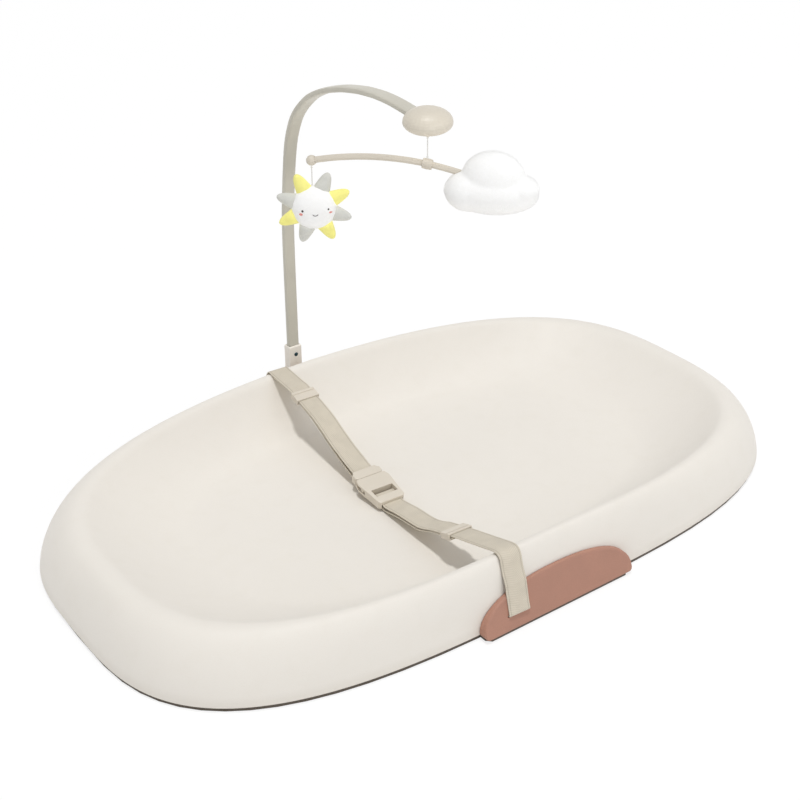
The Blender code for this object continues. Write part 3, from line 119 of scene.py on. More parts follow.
class Tree:
    """Short names for the shader nodes used below."""

    def __init__(self, name):
        self.mat = bpy.data.materials.new(name)
        self.mat.use_nodes = True
        self.nodes = self.mat.node_tree.nodes
        self.links = self.mat.node_tree.links
        self.bsdf = self.nodes["Principled BSDF"]
        self.coords = self.nodes.new("ShaderNodeTexCoord")

    def put(self, socket, value):
        if isinstance(value, bpy.types.NodeSocket):
            self.links.new(value, socket)
        else:
            socket.default_value = value

    def set(self, **values):
        for key, value in values.items():
            self.put(self.bsdf.inputs[key.replace("_", " ")], value)

    def noise(self, size, detail=2.0, rough=0.5, stretch=None):
        """Noise of that grain size in metres, 0 to 1."""
        node = self.nodes.new("ShaderNodeTexNoise")
        node.inputs["Scale"].default_value = 1.0 / size
        node.inputs["Detail"].default_value = detail
        node.inputs["Roughness"].default_value = rough
        source = self.coords.outputs["Object"]
        if stretch is not None:
            scale = self.nodes.new("ShaderNodeVectorMath")
            scale.operation = "MULTIPLY"
            self.links.new(source, scale.inputs[0])
            scale.inputs[1].default_value = stretch
            source = scale.outputs[0]
        self.links.new(source, node.inputs["Vector"])
        return node.outputs["Fac"]

    def cells(self, size, feature="F1"):
        node = self.nodes.new("ShaderNodeTexVoronoi")
        node.feature = feature
        node.inputs["Scale"].default_value = 1.0 / size
        self.links.new(self.coords.outputs["Object"], node.inputs["Vector"])
        return node.outputs["Distance"]

    def math(self, kind, a, b=0.0):
        node = self.nodes.new("ShaderNodeMath")
        node.operation = kind
        for socket, value in zip(node.inputs, (a, b)):
            self.put(socket, value)
        return node.outputs[0]

    def span(self, value, low, high, out_low=0.0, out_high=1.0):
        node = self.nodes.new("ShaderNodeMapRange")
        node.inputs["From Min"].default_value = low
        node.inputs["From Max"].default_value = high
        node.inputs["To Min"].default_value = out_low
        node.inputs["To Max"].default_value = out_high
        self.put(node.inputs["Value"], value)
        return node.outputs["Result"]

    def mix(self, factor, a, b):
        node = self.nodes.new("ShaderNodeMix")
        node.data_type = "RGBA"
        self.put(node.inputs[0], factor)
        self.put(node.inputs[6], a)
        self.put(node.inputs[7], b)
        return node.outputs[2]

    def split(self, source):
        node = self.nodes.new("ShaderNodeSeparateXYZ")
        self.links.new(source, node.inputs[0])
        return node.outputs

    def wave(self, value, length):
        """Sine of a place in metres, one turn in each length."""
        return self.math("SINE", self.math("MULTIPLY", value, math.tau / length))

    def bump(self, height, distance, strength=1.0, under=None):
        node = self.nodes.new("ShaderNodeBump")
        node.inputs["Distance"].default_value = distance
        node.inputs["Strength"].default_value = strength
        self.put(node.inputs["Height"], height)
        if under is not None:
            self.links.new(under, node.inputs["Normal"])
        return node.outputs["Normal"]


def plastic(name, colour, rough, grain=0.0009):
    """Moulded plastic: faint mottling, a fine eroded grain and uneven gloss."""
    t = Tree(name)
    cloudy = t.noise(0.045, 3.0)
    fine = t.noise(grain, 2.0, 0.6)
    tone = t.mix(t.span(cloudy, 0.3, 0.7), shade(colour, 0.965), shade(colour, 1.03))
    tone = t.mix(t.span(fine, 0.45, 0.75, 0.0, 0.18), tone, shade(colour, 0.88))
    gloss = t.span(t.noise(0.018, 4.0, 0.6), 0.25, 0.75, rough - 0.06, rough + 0.08)
    wide = t.bump(t.noise(0.012, 1.0), 0.00016, 0.35)
    t.set(Base_Color=tone, Roughness=gloss, Normal=t.bump(fine, 0.00004, 0.9, wide))
    return t.mat


def foam_skin():
    """Closed skin of moulded foam: soft satin, fine pores, a little handling wear and painted shade near
    the floor.
    """
    t = Tree("foam_skin")
    base = srgb(237, 232, 224)
    broad = t.noise(0.16, 3.0, 0.5)
    patch = t.noise(0.022, 4.0, 0.6)
    pores = t.cells(0.0011, "SMOOTH_F1")
    fine = t.noise(0.00045, 2.0, 0.6)
    place = t.split(t.coords.outputs["Object"])
    # Painted shade: the skin is darkened towards the floor, fully at the foot and not at all from 16 mm
    # up.
    low = t.span(place[2], 0.004, 0.016, 1.0, 0.0)
    tone = t.mix(t.span(broad, 0.3, 0.7), shade(base, 0.985), shade(base, 1.01))
    tone = t.mix(t.span(patch, 0.5, 0.8, 0.0, 0.25), tone, srgb(231, 225, 214))
    tone = t.mix(t.span(pores, 0.0, 0.35, 0.14, 0.0), tone, srgb(214, 206, 194))
    tone = t.mix(t.math("MULTIPLY", low, 0.22), tone, srgb(196, 186, 172))
    gloss = t.span(patch, 0.3, 0.75, 0.50, 0.62)
    height = t.math("ADD", t.math("MULTIPLY", pores, 0.8), t.math("MULTIPLY", fine, 0.35))
    soft = t.bump(t.noise(0.035, 2.0), 0.0006, 0.35)
    t.set(Base_Color=tone, Roughness=gloss, Normal=t.bump(height, 0.00007, 0.8, soft))
    t.set(Specular_IOR_Level=0.38, Sheen_Weight=0.08, Sheen_Roughness=0.5)
    return t.mat


def backing_with_painted_shade():
    """Thin non-slip backing with small raised dots; its dark tone is also painted shade along the mat's
    foot.
    """
    t = Tree("rubber_backing")
    dots = t.cells(0.0030)
    fine = t.noise(0.0006, 2.0, 0.6)
    tone = t.mix(t.span(dots, 0.0, 0.4), srgb(112, 102, 90), srgb(92, 83, 73))
    tone = t.mix(t.span(fine, 0.4, 0.8, 0.0, 0.5), tone, srgb(78, 70, 62))
    height = t.math("SUBTRACT", fine, t.math("MULTIPLY", dots, 1.4))
    gloss = t.span(fine, 0.3, 0.7, 0.68, 0.86)
    t.set(Base_Color=tone, Roughness=gloss, Normal=t.bump(height, 0.00018))
    return t.mat


def panel_skin():
    """Soft-touch terracotta plastic with a spark-eroded grain."""
    t = Tree("panel_plastic")
    base = srgb(177, 132, 114)
    cloudy = t.noise(0.03, 3.0)
    grain = t.cells(0.0008, "SMOOTH_F1")
    fine = t.noise(0.0004, 3.0, 0.6)
    tone = t.mix(t.span(cloudy, 0.3, 0.7), shade(base, 0.95), shade(base, 1.04))
    tone = t.mix(t.span(grain, 0.0, 0.5, 0.25, 0.0), tone, srgb(150, 106, 90))
    height = t.math("ADD", grain, t.math("MULTIPLY", fine, 0.6))
    gloss = t.span(cloudy, 0.3, 0.7, 0.52, 0.64)
    t.set(Base_Color=tone, Roughness=gloss, Normal=t.bump(height, 0.00009))
    t.set(Specular_IOR_Level=0.35)
    return t.mat


def webbing_cloth():
    """Woven strap: UV runs in metres, U along the strap and V across it."""
    t = Tree("webbing_weave")
    place = t.split(t.coords.outputs["UV"])
    off_middle = t.math("ABSOLUTE", place[1])
    rib = t.wave(place[1], 0.00155)
    pick = t.wave(t.math("ADD", place[0], t.math("MULTIPLY", off_middle, 0.75)), 0.0019)
    weave = t.math("MULTIPLY", rib, pick)
    yarn = t.noise(0.00035, 2.0, 0.7)
    inner = t.span(off_middle, 0.0098, 0.0104)
    groove = t.math("MULTIPLY", inner, t.span(off_middle, 0.0104, 0.0110, 1.0, 0.0))
    broad = t.noise(0.012, 3.0)
    base = srgb(221, 212, 195)
    tone = t.mix(t.span(broad, 0.3, 0.7), shade(base, 0.95), shade(base, 1.03))
    tone = t.mix(t.span(weave, -0.9, 0.4, 0.34, 0.0), tone, srgb(168, 156, 136))
    tone = t.mix(t.span(yarn, 0.5, 0.8, 0.0, 0.35), tone, srgb(228, 220, 204))
    # Painted shade: the groove near each edge is darkened in colour as well as dented by the bump.
    tone = t.mix(t.math("MULTIPLY", groove, 0.45), tone, srgb(150, 139, 121))
    height = t.math("ADD", t.math("MULTIPLY", weave, 0.5), t.math("MULTIPLY", yarn, 0.4))
    height = t.math("SUBTRACT", height, groove)
    t.set(Base_Color=tone, Roughness=0.82, Normal=t.bump(height, 0.00022))
    t.set(Sheen_Weight=0.25, Sheen_Roughness=0.4, Specular_IOR_Level=0.25)
    return t.mat


def plush(name, colour, grain, depth, deep, sheen=0.35):
    """Short-pile fabric on a stuffed toy."""
    t = Tree(name)
    nap = t.noise(grain, 4.0, 0.75)
    clump = t.noise(0.0035, 3.0, 0.6)
    tone = t.mix(t.span(clump, 0.3, 0.7), shade(colour, 0.97), shade(colour, 1.02))
    tone = t.mix(t.span(nap, 0.3, 0.62, 0.55, 0.0), tone, shade(colour, deep))
    height = t.math("ADD", nap, t.math("MULTIPLY", clump, 0.6))
    t.set(Base_Color=tone, Roughness=0.93, Normal=t.bump(height, depth))
    t.set(Sheen_Weight=sheen, Sheen_Roughness=0.45, Specular_IOR_Level=0.15)
    return t.mat


def thread(name, colour):
    """Twisted yarn."""
    t = Tree(name)
    fibre = t.noise(0.0005, 3.0, 0.7, stretch=(1.0, 1.0, 0.4))
    tone = t.mix(t.span(fibre, 0.35, 0.7), shade(colour, 0.8), colour)
    t.set(Base_Color=tone, Roughness=0.8, Normal=t.bump(fibre, 0.00012))
    t.set(Sheen_Weight=0.3, Specular_IOR_Level=0.25)
    return t.mat


def steel(name, colour, rough):
    """Drawn steel with fine lines."""
    t = Tree(name)
    lines = t.noise(0.0012, 3.0, 0.6, stretch=(1.0, 1.0, 14.0))
    tone = t.mix(t.span(lines, 0.3, 0.7), shade(colour, 0.85), colour)
    gloss = t.span(lines, 0.3, 0.7, rough - 0.07, rough + 0.1)
    t.set(Base_Color=tone, Metallic=1.0, Roughness=gloss, Normal=t.bump(lines, 0.00002))
    return t.mat


FOAM = foam_skin()
WEB = webbing_cloth()
CLIP = plastic("clip_plastic", srgb(220, 211, 196), 0.40)
ARM = plastic("arm_plastic", srgb(202, 198, 185), 0.38, 0.0007)
CAP = plastic("cap_plastic", srgb(218, 210, 195), 0.40)
# Painted light: the socket's colour is raised above its own, to make up for the shade its front face
# stands in.
SOCKET_LIGHTENED = plastic("socket_plastic", srgb(247, 241, 231), 0.44)
BAR = plastic("bar_plastic", srgb(210, 202, 188), 0.42, 0.0006)
WHITE = plush("plush_white", srgb(254, 254, 253), 0.0008, 0.0003, 0.95, 0.8)
YELLOW = plush("plush_yellow", srgb(252, 246, 148), 0.0007, 0.00025, 0.94)
GREY = plush("plush_grey", srgb(214, 214, 208), 0.0007, 0.00025, 0.90)
CORD = thread("toy_string", srgb(236, 235, 232))
EYE = thread("eye_thread", srgb(66, 60, 60))
CHEEK = thread("cheek_felt", srgb(238, 158, 150))
STEEL = steel("plain_steel", (0.56, 0.56, 0.57, 1.0), 0.34)
DARK = steel("dark_steel", srgb(60, 82, 88), 0.42)


def dress(material, *names):
    for name in names:
        data = NODES[name].data
        if not data.materials:
            data.materials.append(material)
        for i in range(len(data.materials)):
            data.materials[i] = material


# The backing's dark tone also serves as painted shade under the mat's foot.
dress(backing_with_painted_shade(), "base_sheet")
dress(panel_skin(), "front_panel", "rear_panel")
dress(CLIP, "front_keeper", "rear_keeper", "buckle_female", "buckle_male",
      "buckle_prong_left", "buckle_prong_right")
dress(ARM, "arm")
dress(CAP, "arm_cap", "cap_plate", "string_stud")
dress(SOCKET_LIGHTENED, "arm_socket")
dress(BAR, "bar", "bar_collar", "bar_end_cap")
dress(DARK, "clamp_screw")
dress(STEEL, "socket_screw_1", "socket_screw_2", "front_anchor_bar", "rear_anchor_bar",
      "front_panel_screw_1", "front_panel_screw_2", "rear_panel_screw_1", "rear_panel_screw_2")


# Mesh helpers

def add_mesh(name, verts, faces, material, uvs=None):
    mesh = bpy.data.meshes.new(name)
    mesh.from_pydata([tuple(v) for v in verts], [], faces)
    mesh.validate()
    obj = bpy.data.objects.new(name, mesh)
    SCENE.collection.objects.link(obj)
    if uvs is not None:
        layer = mesh.uv_layers.new(name="cloth")
        for loop in mesh.loops:
            layer.data[loop.index].uv = uvs[loop.vertex_index]
    bm = bmesh.new()
    bm.from_mesh(mesh)
    bmesh.ops.recalc_face_normals(bm, faces=bm.faces)
    bm.to_mesh(mesh)
    bm.free()
    mesh.shade_smooth()
    mesh.materials.append(material)
    return obj


def rings_mesh(name, rings, material, start=None, end=None, uvs=None):
    """Skins closed rings of equal count; start and end close them with a point or a fan."""
    verts = [p for ring in rings for p in ring]
    count = len(rings[0])
    faces = []
    for k in range(len(rings) - 1):
        for i in range(count):
            j = (i + 1) % count
            faces.append((k * count + i, k * count + j, (k + 1) * count + j, (k + 1) * count + i))
    for base, point in ((0, start), ((len(rings) - 1) * count, end)):
        if point is None:
            faces.append(tuple(range(base, base + count)))
            continue
        verts.append(point)
        tip = len(verts) - 1
        for i in range(count):
            faces.append((base + i, base + (i + 1) % count, tip))
    return add_mesh(name, verts, faces, material, uvs)


def apply(obj):
    """Bakes an object's modifiers into its mesh."""
    bpy.context.view_layer.update()
    graph = bpy.context.evaluated_depsgraph_get()
    mesh = bpy.data.meshes.new_from_object(obj.evaluated_get(graph))
    obj.modifiers.clear()
    obj.data = mesh


def centre(node):
    low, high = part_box(node)
    return (low + high) / 2


# Foam mat: the CAD outline with a smooth, dense skin

HALF_L, HALF_W, POWER = 0.4115, 0.2311, 3.23
BASE_Z, FOOT_Z, FOOT_INSET = 0.0048, 0.0034, 0.0026
CREST_MID, CREST_END, DROP_POWER = 0.0772, 0.0621, 1.3
INSET_SIDE, INSET_END, CREST_POWER, BOW = 0.0147, 0.0364, 2.71, 0.765
CREASE_SIDE, CREASE_END, CREASE_DROP, CREASE_POWER = 0.0070, 0.0100, 0.0012, 2.8
BASIN_L, BASIN_W, BASIN_POWER = 0.262, 0.150, 2.6
FLOOR_FOOT, FLOOR_Z, SLOPE_POWER = 0.0185, 0.0165, 1.6
RECESS_Y, RECESS_SIZE = 0.2278, (0.1134, 0.051, 0.0136)
AROUND, WALL_STEPS, CREASE_STEPS, SLOPE_STEPS, FLOOR_STEPS = 288, 20, 4, 30, 12
SMOOTHINGS = 3
SHARP_DEG = 60


def oval(a, b, power, t):
    """A point of a superellipse."""
    c, s = math.cos(t), math.sin(t)
    x = a * math.copysign(abs(c) ** (2 / power), c)
    y = b * math.copysign(abs(s) ** (2 / power), s)
    return x, y


def crest_z(x):
    share = min(1.0, abs(x) / (HALF_L - INSET_END))
    return CREST_MID - (CREST_MID - CREST_END) * share ** DROP_POWER


def mat_profile(t):
    """Points of the mat's skin from its foot over the rim to the basin's middle."""
    fx, fy = oval(HALF_L - FOOT_INSET, HALF_W - FOOT_INSET, POWER, t)
    bx, by = oval(HALF_L, HALF_W, POWER, t)
    cx, cy = oval(HALF_L - INSET_END, HALF_W - INSET_SIDE, CREST_POWER, t)
    crease_l, crease_w = HALF_L - INSET_END - CREASE_END, HALF_W - INSET_SIDE - CREASE_SIDE
    kx, ky = oval(crease_l, crease_w, CREASE_POWER, t)
    ox, oy = oval(BASIN_L, BASIN_W, BASIN_POWER, t)
    top = crest_z(cx)
    crease = crest_z(kx) - CREASE_DROP
    out = [(fx, fy, FOOT_Z)]
    for i in range(WALL_STEPS + 1):
        a = math.radians(90 * i / WALL_STEPS)
        w = (1 - math.cos(a)) ** BOW
        out.append((bx + (cx - bx) * w, by + (cy - by) * w, BASE_Z + (top - BASE_Z) * math.sin(a)))
    for i in range(1, CREASE_STEPS + 1):
        w = i / CREASE_STEPS
        out.append((cx + (kx - cx) * w, cy + (ky - cy) * w, top + (crease - top) * w))
    for i in range(1, SLOPE_STEPS + 1):
        w = i / SLOPE_STEPS
        fall = 1 - (1 - w) ** SLOPE_POWER
        out.append((kx + (ox - kx) * w, ky + (oy - ky) * w, crease + (FLOOR_FOOT - crease) * fall))
    for i in range(1, FLOOR_STEPS):
        w = 1 - i / FLOOR_STEPS
        out.append((ox * w, oy * w, FLOOR_Z + (FLOOR_FOOT - FLOOR_Z) * w * w))
    line = np.array(out)
    for _ in range(SMOOTHINGS):
        line[2:-1] = (line[1:-2] + 2 * line[2:-1] + line[3:]) / 4
    return line


def cut_recess(mat, panel, side):
    """Takes the pocket of a side panel out of the mat's wall."""
    mid = centre(panel)
    mid = Vector((mid.x, side * RECESS_Y, 0.0))
    size = Matrix.Diagonal((*RECESS_SIZE, 1.0))
    bm = bmesh.new()
    bmesh.ops.create_cube(bm, size=1.0, matrix=Matrix.Translation(mid) @ size)
    cutter = bpy.data.meshes.new("recess")
    bm.to_mesh(cutter)
    bm.free()
    tool = bpy.data.objects.new("recess", cutter)
    SCENE.collection.objects.link(tool)
    cut = mat.modifiers.new("recess", "BOOLEAN")
    cut.operation = "DIFFERENCE"
    cut.solver = "EXACT"
    cut.object = tool
    apply(mat)
    bpy.data.objects.remove(tool, do_unlink=True)


def make_mat():
    lines = np.array([mat_profile(math.tau * i / AROUND) for i in range(AROUND)])
    rings = [lines[:, k] for k in range(lines.shape[1])]
    mat = rings_mesh("mat_skin", rings, FOAM, (0.0, 0.0, FOOT_Z), (0.0, 0.0, FLOOR_Z))
    cut_recess(mat, "front_panel", -1)
    cut_recess(mat, "rear_panel", 1)
    mat.data.shade_smooth()
    mat.data.set_sharp_from_angle(angle=math.radians(SHARP_DEG))
    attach(mat, "base")
    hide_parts("mat_body")


make_mat()


# Webbing: the centreline of each CAD strip, with a rounded and ribbed cross-section

STRAP_X, STRAP_YAW = -0.0556, math.radians(-2.3)
STRAP = Matrix.Translation((STRAP_X, 0.0, 0.0)) @ Matrix.Rotation(STRAP_YAW, 4, "Z")
WEB_HALF, WEB_T = 0.0125, 0.0014
WEB_STEP, CURVE_STEPS = 0.0011, 8
WEB_FIT, WAVE_SHARE, WAVES_PER_M = 0.999, 0.004, 210.0
# Half the strap's cross-section, as shares of its half width and half thickness, with a rib near each edge
WEB_SECTION = [(-1.0, 0.0), (-0.985, 0.72), (-0.93, 1.0), (-0.87, 0.98), (-0.84, 0.80),
               (-0.81, 0.98), (-0.4, 1.0), (0.0, 1.0), (0.4, 1.0), (0.81, 0.98),
               (0.84, 0.80), (0.87, 0.98), (0.93, 1.0), (0.985, 0.72), (1.0, 0.0)]


def strip_centreline(node):
    """Points (along, up) in the strap's frame, in the middle of a CAD strip."""
    back = STRAP.inverted()
    points, index, remap = [], {}, []
    for v in NODES[node].data.vertices:
        p = back @ v.co
        key = (round(p.x, 5), round(p.y, 5), round(p.z, 5))
        if key not in index:
            index[key] = len(points)
            points.append(p)
        remap.append(index[key])
    side = {i for i, p in enumerate(points) if p.x > WEB_HALF / 2}
    count = {}
    for poly in NODES[node].data.polygons:
        ids = [remap[i] for i in poly.vertices]
        if all(i in side for i in ids):
            for a, b in zip(ids, ids[1:] + ids[:1]):
                count[frozenset((a, b))] = count.get(frozenset((a, b)), 0) + 1
    links = {}
    for pair, n in count.items():
        if n == 1 and len(pair) == 2:
            a, b = pair
            links.setdefault(a, []).append(b)
            links.setdefault(b, []).append(a)
    first = next(iter(links))
    loop = [first]
    while True:
        ahead = [i for i in links[loop[-1]] if len(loop) < 2 or i != loop[-2]]
        if not ahead or ahead[0] == first:
            break
        loop.append(ahead[0])
    ring = np.array([(points[i].y, points[i].z) for i in loop])
    n = len(ring)
    best = None
    for s in range(n):
        rolled = np.roll(ring, -s, axis=0)
        gap = np.linalg.norm(rolled[:n // 2] - rolled[::-1][:n // 2], axis=1)
        worst = gap.max()
        if best is None or worst < best[0]:
            best = (worst, (rolled[:n // 2] + rolled[::-1][:n // 2]) / 2)
    return best[1]


def even_path(points, step):
    """A smooth curve through the points, at even steps."""
    ends = [2 * points[0] - points[1]] + list(points) + [2 * points[-1] - points[-2]]
    fine = []
    for i in range(1, len(ends) - 2):
        a, b, c, d = ends[i - 1], ends[i], ends[i + 1], ends[i + 2]
        for k in range(CURVE_STEPS):
            t = k / CURVE_STEPS
            fine.append(0.5 * (2 * b + (c - a) * t + (2 * a - 5 * b + 4 * c - d) * t * t
                               + (3 * b - a - 3 * c + d) * t ** 3))
    fine.append(ends[-2])
    fine = np.array(fine)
    runs = np.concatenate([[0.0], np.cumsum(np.linalg.norm(np.diff(fine, axis=0), axis=1))])
    count = max(2, int(runs[-1] / step))
    at = np.linspace(0.0, runs[-1], count)
    return np.stack([np.interp(at, runs, fine[:, k]) for k in range(2)], 1), at


def make_webbing(node):
    """The strap that stands for a CAD strip, with its edges rounded."""
    line, along = even_path(strip_centreline(node), WEB_STEP)
    heading = np.gradient(line, axis=0)
    heading /= np.linalg.norm(heading, axis=1)[:, None]
    up = np.stack([-heading[:, 1], heading[:, 0]], 1)
    across = WEB_SECTION + [(x, -z) for x, z in reversed(WEB_SECTION[1:-1])]
    rings, uvs = [], []
    for p, n, u in zip(line, up, along):
        ring = []
        wavy = 1.0 + WAVE_SHARE * math.sin(u * WAVES_PER_M)
        for x, z in across:
            q = p + n * z * WEB_T / 2
            ring.append(STRAP @ Vector((x * WEB_HALF * wavy * WEB_FIT, q[0], q[1])))
            uvs.append((u, x * WEB_HALF))
        rings.append(ring)
    return rings_mesh(node.replace("webbing", "strap"), rings, WEB, uvs=uvs)


def make_straps():
    front = make_webbing("front_webbing")
    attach(front, "base")
    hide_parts("front_webbing")
    rear = make_webbing("rear_webbing")
    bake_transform(rear)
    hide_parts("rear_webbing")


make_straps()


# Toys

SUN_TURN_DEG, SUN_SHIFT = -33.0, (0.0012, 0.0, 0.0)
SUN = (Matrix.Translation(centre("sun_body")) @ Matrix.Rotation(math.radians(SUN_TURN_DEG), 4, "Z")
       @ Matrix.Translation(SUN_SHIFT))
SUN_R, SUN_T, SUN_POWER = 0.0222, 0.0113, 2.3
SUN_STEPS, SUN_COUNT = 22, 96
RAY_ANGLES = (67.0, 117.0, 161.0, 205.0, 250.0, 299.0, 342.0, 25.0)
RAY_ROOT, RAY_REACH, RAY_HALF, RAY_THICK = 0.0185, 0.0200, 0.0089, 0.0045
RAY_STEPS, RAY_COUNT = 26, 28
RAY_TAPER, RAY_TIP = 0.52, 0.9985
DOT_STEPS, DOT_COUNT, DOT_SINK, DOT_ROOT = 6, 20, 0.0001, 0.0008
EYES = (("left", -0.0116, -0.0002), ("right", 0.0140, 0.0012))
CHEEK_OUT, CHEEK_DROP = 1.14, 0.0036
SMILE_X, SMILE_Z, SMILE_HALF, SMILE_DEEP = 0.0010, -0.0024, 0.0029, 0.0026
SMILE_R, SMILE_LIFT, SMILE_STEPS = 0.00034, 0.0001, 14

# Lobes of the cloud toy: place and half sizes, X along the toy
CLOUD_LOBES = (
    ((0.0, 0.0, 0.0), (0.0462, 0.0198, 0.0222)),
    ((0.0008, 0.0, 0.0146), (0.0308, 0.0178, 0.0265)),
    ((0.0290, 0.0, 0.0050), (0.0172, 0.0158, 0.0140)),
    ((-0.0220, 0.0, -0.0006), (0.0232, 0.0176, 0.0205)),
)
CLOUD_TURN_DEG, CLOUD_TILT_DEG = -43.0, 2.5
CLOUD_VOXEL, CLOUD_SMOOTHINGS = 0.0010, 22
SEAM_DENT, SEAM_HALF, SEAM_MID_Z = 0.0007, 0.0012, 0.006

PLIES, PLY_STEP, PLY_TURN, PLY_OUT, PLY_R = 3, 0.00022, 0.0022, 0.00032, 0.00031
KNOT_INSET, KNOT_OUT, KNOT_HALF, KNOT_R, KNOT_TURNS, KNOT_STEPS = 0.0012, 0.0007, 0.0006, 0.00036, 2, 32


def sun_depth(x, z):
    """Half thickness of the stuffed body at a place on its face."""
    r = min(1.0, math.hypot(x, z) / SUN_R)
    return SUN_T * (1 - r ** SUN_POWER) ** 0.5


def sun_face(x, z, lift):
    """A point that stands off the front of the sun's body."""
    return SUN @ Vector((x, -sun_depth(x, z) - lift, z))


def make_sun_body():
    """Two stuffed faces that meet in a puckered seam."""
    front = [(-1, i) for i in range(1, SUN_STEPS + 1)]
    back = [(1, i) for i in range(SUN_STEPS - 1, 0, -1)]
    rings = []
    for side, i in front + back:
        share = math.sin(math.pi / 2 * i / SUN_STEPS)
        swell = SUN_T * (1 - share ** SUN_POWER) ** 0.5
        ring = []
        for k in range(SUN_COUNT):
            a = math.tau * k / SUN_COUNT
            seam = 0.012 * share ** 8 * math.sin(16 * a)
            lumps = 0.006 * share ** 4 * math.sin(5 * a + 1.0)
            r = SUN_R * share * (1 + seam + lumps)
            depth = swell * (1 + 0.03 * math.sin(3 * a + 0.6) * share)
            ring.append(SUN @ Vector((r * math.cos(a), side * depth, r * math.sin(a))))
        rings.append(ring)
    tips = [SUN @ Vector((0, side * SUN_T, 0)) for side in (-1, 1)]
    body = rings_mesh("sun_cushion", rings, WHITE, *tips)
    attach(body, "sun")
    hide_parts("sun_body")


def make_ray(number, deg):
    """A flat stuffed ray that tapers to a round tip."""
    turn = SUN @ Matrix.Rotation(-math.radians(deg - 90.0), 4, "Y")
    rings = []
    for i in range(RAY_STEPS):
        t = math.sin(math.pi / 2 * i / (RAY_STEPS - 1)) * RAY_TIP
        wide = RAY_HALF * (1 - RAY_TAPER * t) * (1 - t ** 6) ** 0.5
        belly = 0.70 + 0.30 * math.sin(math.pi * min(1.0, 1.5 * t + 0.1))
        deep = RAY_THICK * belly * (1 - t ** 5) ** 0.5 * (1 + 0.05 * math.sin(9 * t + number))
        ring = []
        for k in range(RAY_COUNT):
            a = math.tau * k / RAY_COUNT
            y = deep * math.copysign(abs(math.sin(a)) ** 1.25, math.sin(a))
            ring.append(turn @ Vector((wide * math.cos(a), y, RAY_ROOT + RAY_REACH * t)))
        rings.append(ring)
    material, slot = (GREY, "plush_grey") if number % 2 else (YELLOW, "plush_yellow")
    tips = [turn @ Vector((0, 0, z)) for z in (RAY_ROOT, RAY_ROOT + RAY_REACH)]
    ray = rings_mesh("ray_cushion_%d" % number, rings, material, *tips)
    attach(ray, "sun")
    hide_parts("sun_ray_%d" % number)


def face_dot(name, x, z, half_x, half_z, rise, material):
    """A small domed patch that follows the front of the sun's body."""
    floor_y = DOT_ROOT - sun_depth(x, z)
    turns = [math.tau * k / DOT_COUNT for k in range(DOT_COUNT)]
    rings = []
    for i in range(1, DOT_STEPS + 1):
        share = i / DOT_STEPS
        lift = rise * (1 - share ** 3) - DOT_SINK
        rings.append([sun_face(x + half_x * share * math.cos(a), z + half_z * share * math.sin(a), lift)
                      for a in turns])
    rings.append([SUN @ Vector((x + half_x * math.cos(a), floor_y, z + half_z * math.sin(a)))
                  for a in turns])
    dot = rings_mesh(name, rings, material, sun_face(x, z, rise), SUN @ Vector((x, floor_y, z)))
    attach(dot, "sun")


def tube_mesh(name, points, radius, material):
    """A round tube along the points."""
    curve = bpy.data.curves.new(name, "CURVE")
    curve.dimensions = "3D"
    curve.bevel_depth = radius
    curve.bevel_resolution = 2
    curve.use_fill_caps = True
    spline = curve.splines.new("POLY")
    spline.points.add(len(points) - 1)
    for point, co in zip(spline.points, points):
        point.co = (co[0], co[1], co[2], 1.0)
    obj = bpy.data.objects.new(name, curve)
    SCENE.collection.objects.link(obj)
    bpy.context.view_layer.update()
    graph = bpy.context.evaluated_depsgraph_get()
    mesh = bpy.data.meshes.new_from_object(obj.evaluated_get(graph))
    bpy.data.objects.remove(obj, do_unlink=True)
    mesh.name = name
    mesh.materials.clear()
    mesh.materials.append(material)
    mesh.shade_smooth()
    out = bpy.data.objects.new(name, mesh)
    SCENE.collection.objects.link(out)
    return out


def make_face():
    """Two stitched eyes, two felt cheeks and a stitched smile."""
    for label, x, z in EYES:
        face_dot("eye_" + label, x, z, 0.0011, 0.0013, 0.0005, EYE)
        face_dot("cheek_" + label, x * CHEEK_OUT, z - CHEEK_DROP, 0.0018, 0.0014, 0.00025, CHEEK)
    arc = []
    for i in range(SMILE_STEPS + 1):
        a = math.radians(-155 + 130 * i / SMILE_STEPS)
        x, z = SMILE_X + SMILE_HALF * math.cos(a), SMILE_Z + SMILE_DEEP * math.sin(a)
        arc.append(sun_face(x, z, SMILE_LIFT))
    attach(tube_mesh("smile", arc, SMILE_R, EYE), "sun")


def make_cloud():
    """Stuffed lobes merged into one cushion, with a seam pressed in all round."""
    place = (Matrix.Translation(centre("cloud_base"))
             @ Matrix.Rotation(math.radians(CLOUD_TURN_DEG), 4, "Z")
             @ Matrix.Rotation(math.radians(CLOUD_TILT_DEG), 4, "Y"))
    bm = bmesh.new()
    for at, half in CLOUD_LOBES:
        grow = Matrix.Translation(at) @ Matrix.Diagonal((*half, 1.0))
        bmesh.ops.create_icosphere(bm, subdivisions=5, radius=1.0, matrix=grow)
    mesh = bpy.data.meshes.new("cloud_cushion")
    bm.to_mesh(mesh)
    bm.free()
    cloud = bpy.data.objects.new("cloud_cushion", mesh)
    SCENE.collection.objects.link(cloud)
    merge = cloud.modifiers.new("merge", "REMESH")
    merge.mode = "VOXEL"
    merge.voxel_size = CLOUD_VOXEL
    soften = cloud.modifiers.new("soften", "SMOOTH")
    soften.factor = 0.5
    soften.iterations = CLOUD_SMOOTHINGS
    apply(cloud)
    for v in cloud.data.vertices:
        dent = SEAM_DENT * math.exp(-(v.co.y / SEAM_HALF) ** 2)
        flat = Vector((v.co.x, 0.0, v.co.z - SEAM_MID_Z))
        v.co -= flat.normalized() * dent
    cloud.data.transform(place)
    cloud.data.materials.clear()
    cloud.data.materials.append(WHITE)
    cloud.data.shade_smooth()
    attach(cloud, "mobile")
    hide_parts("cloud_base", "cloud_top", "cloud_side")


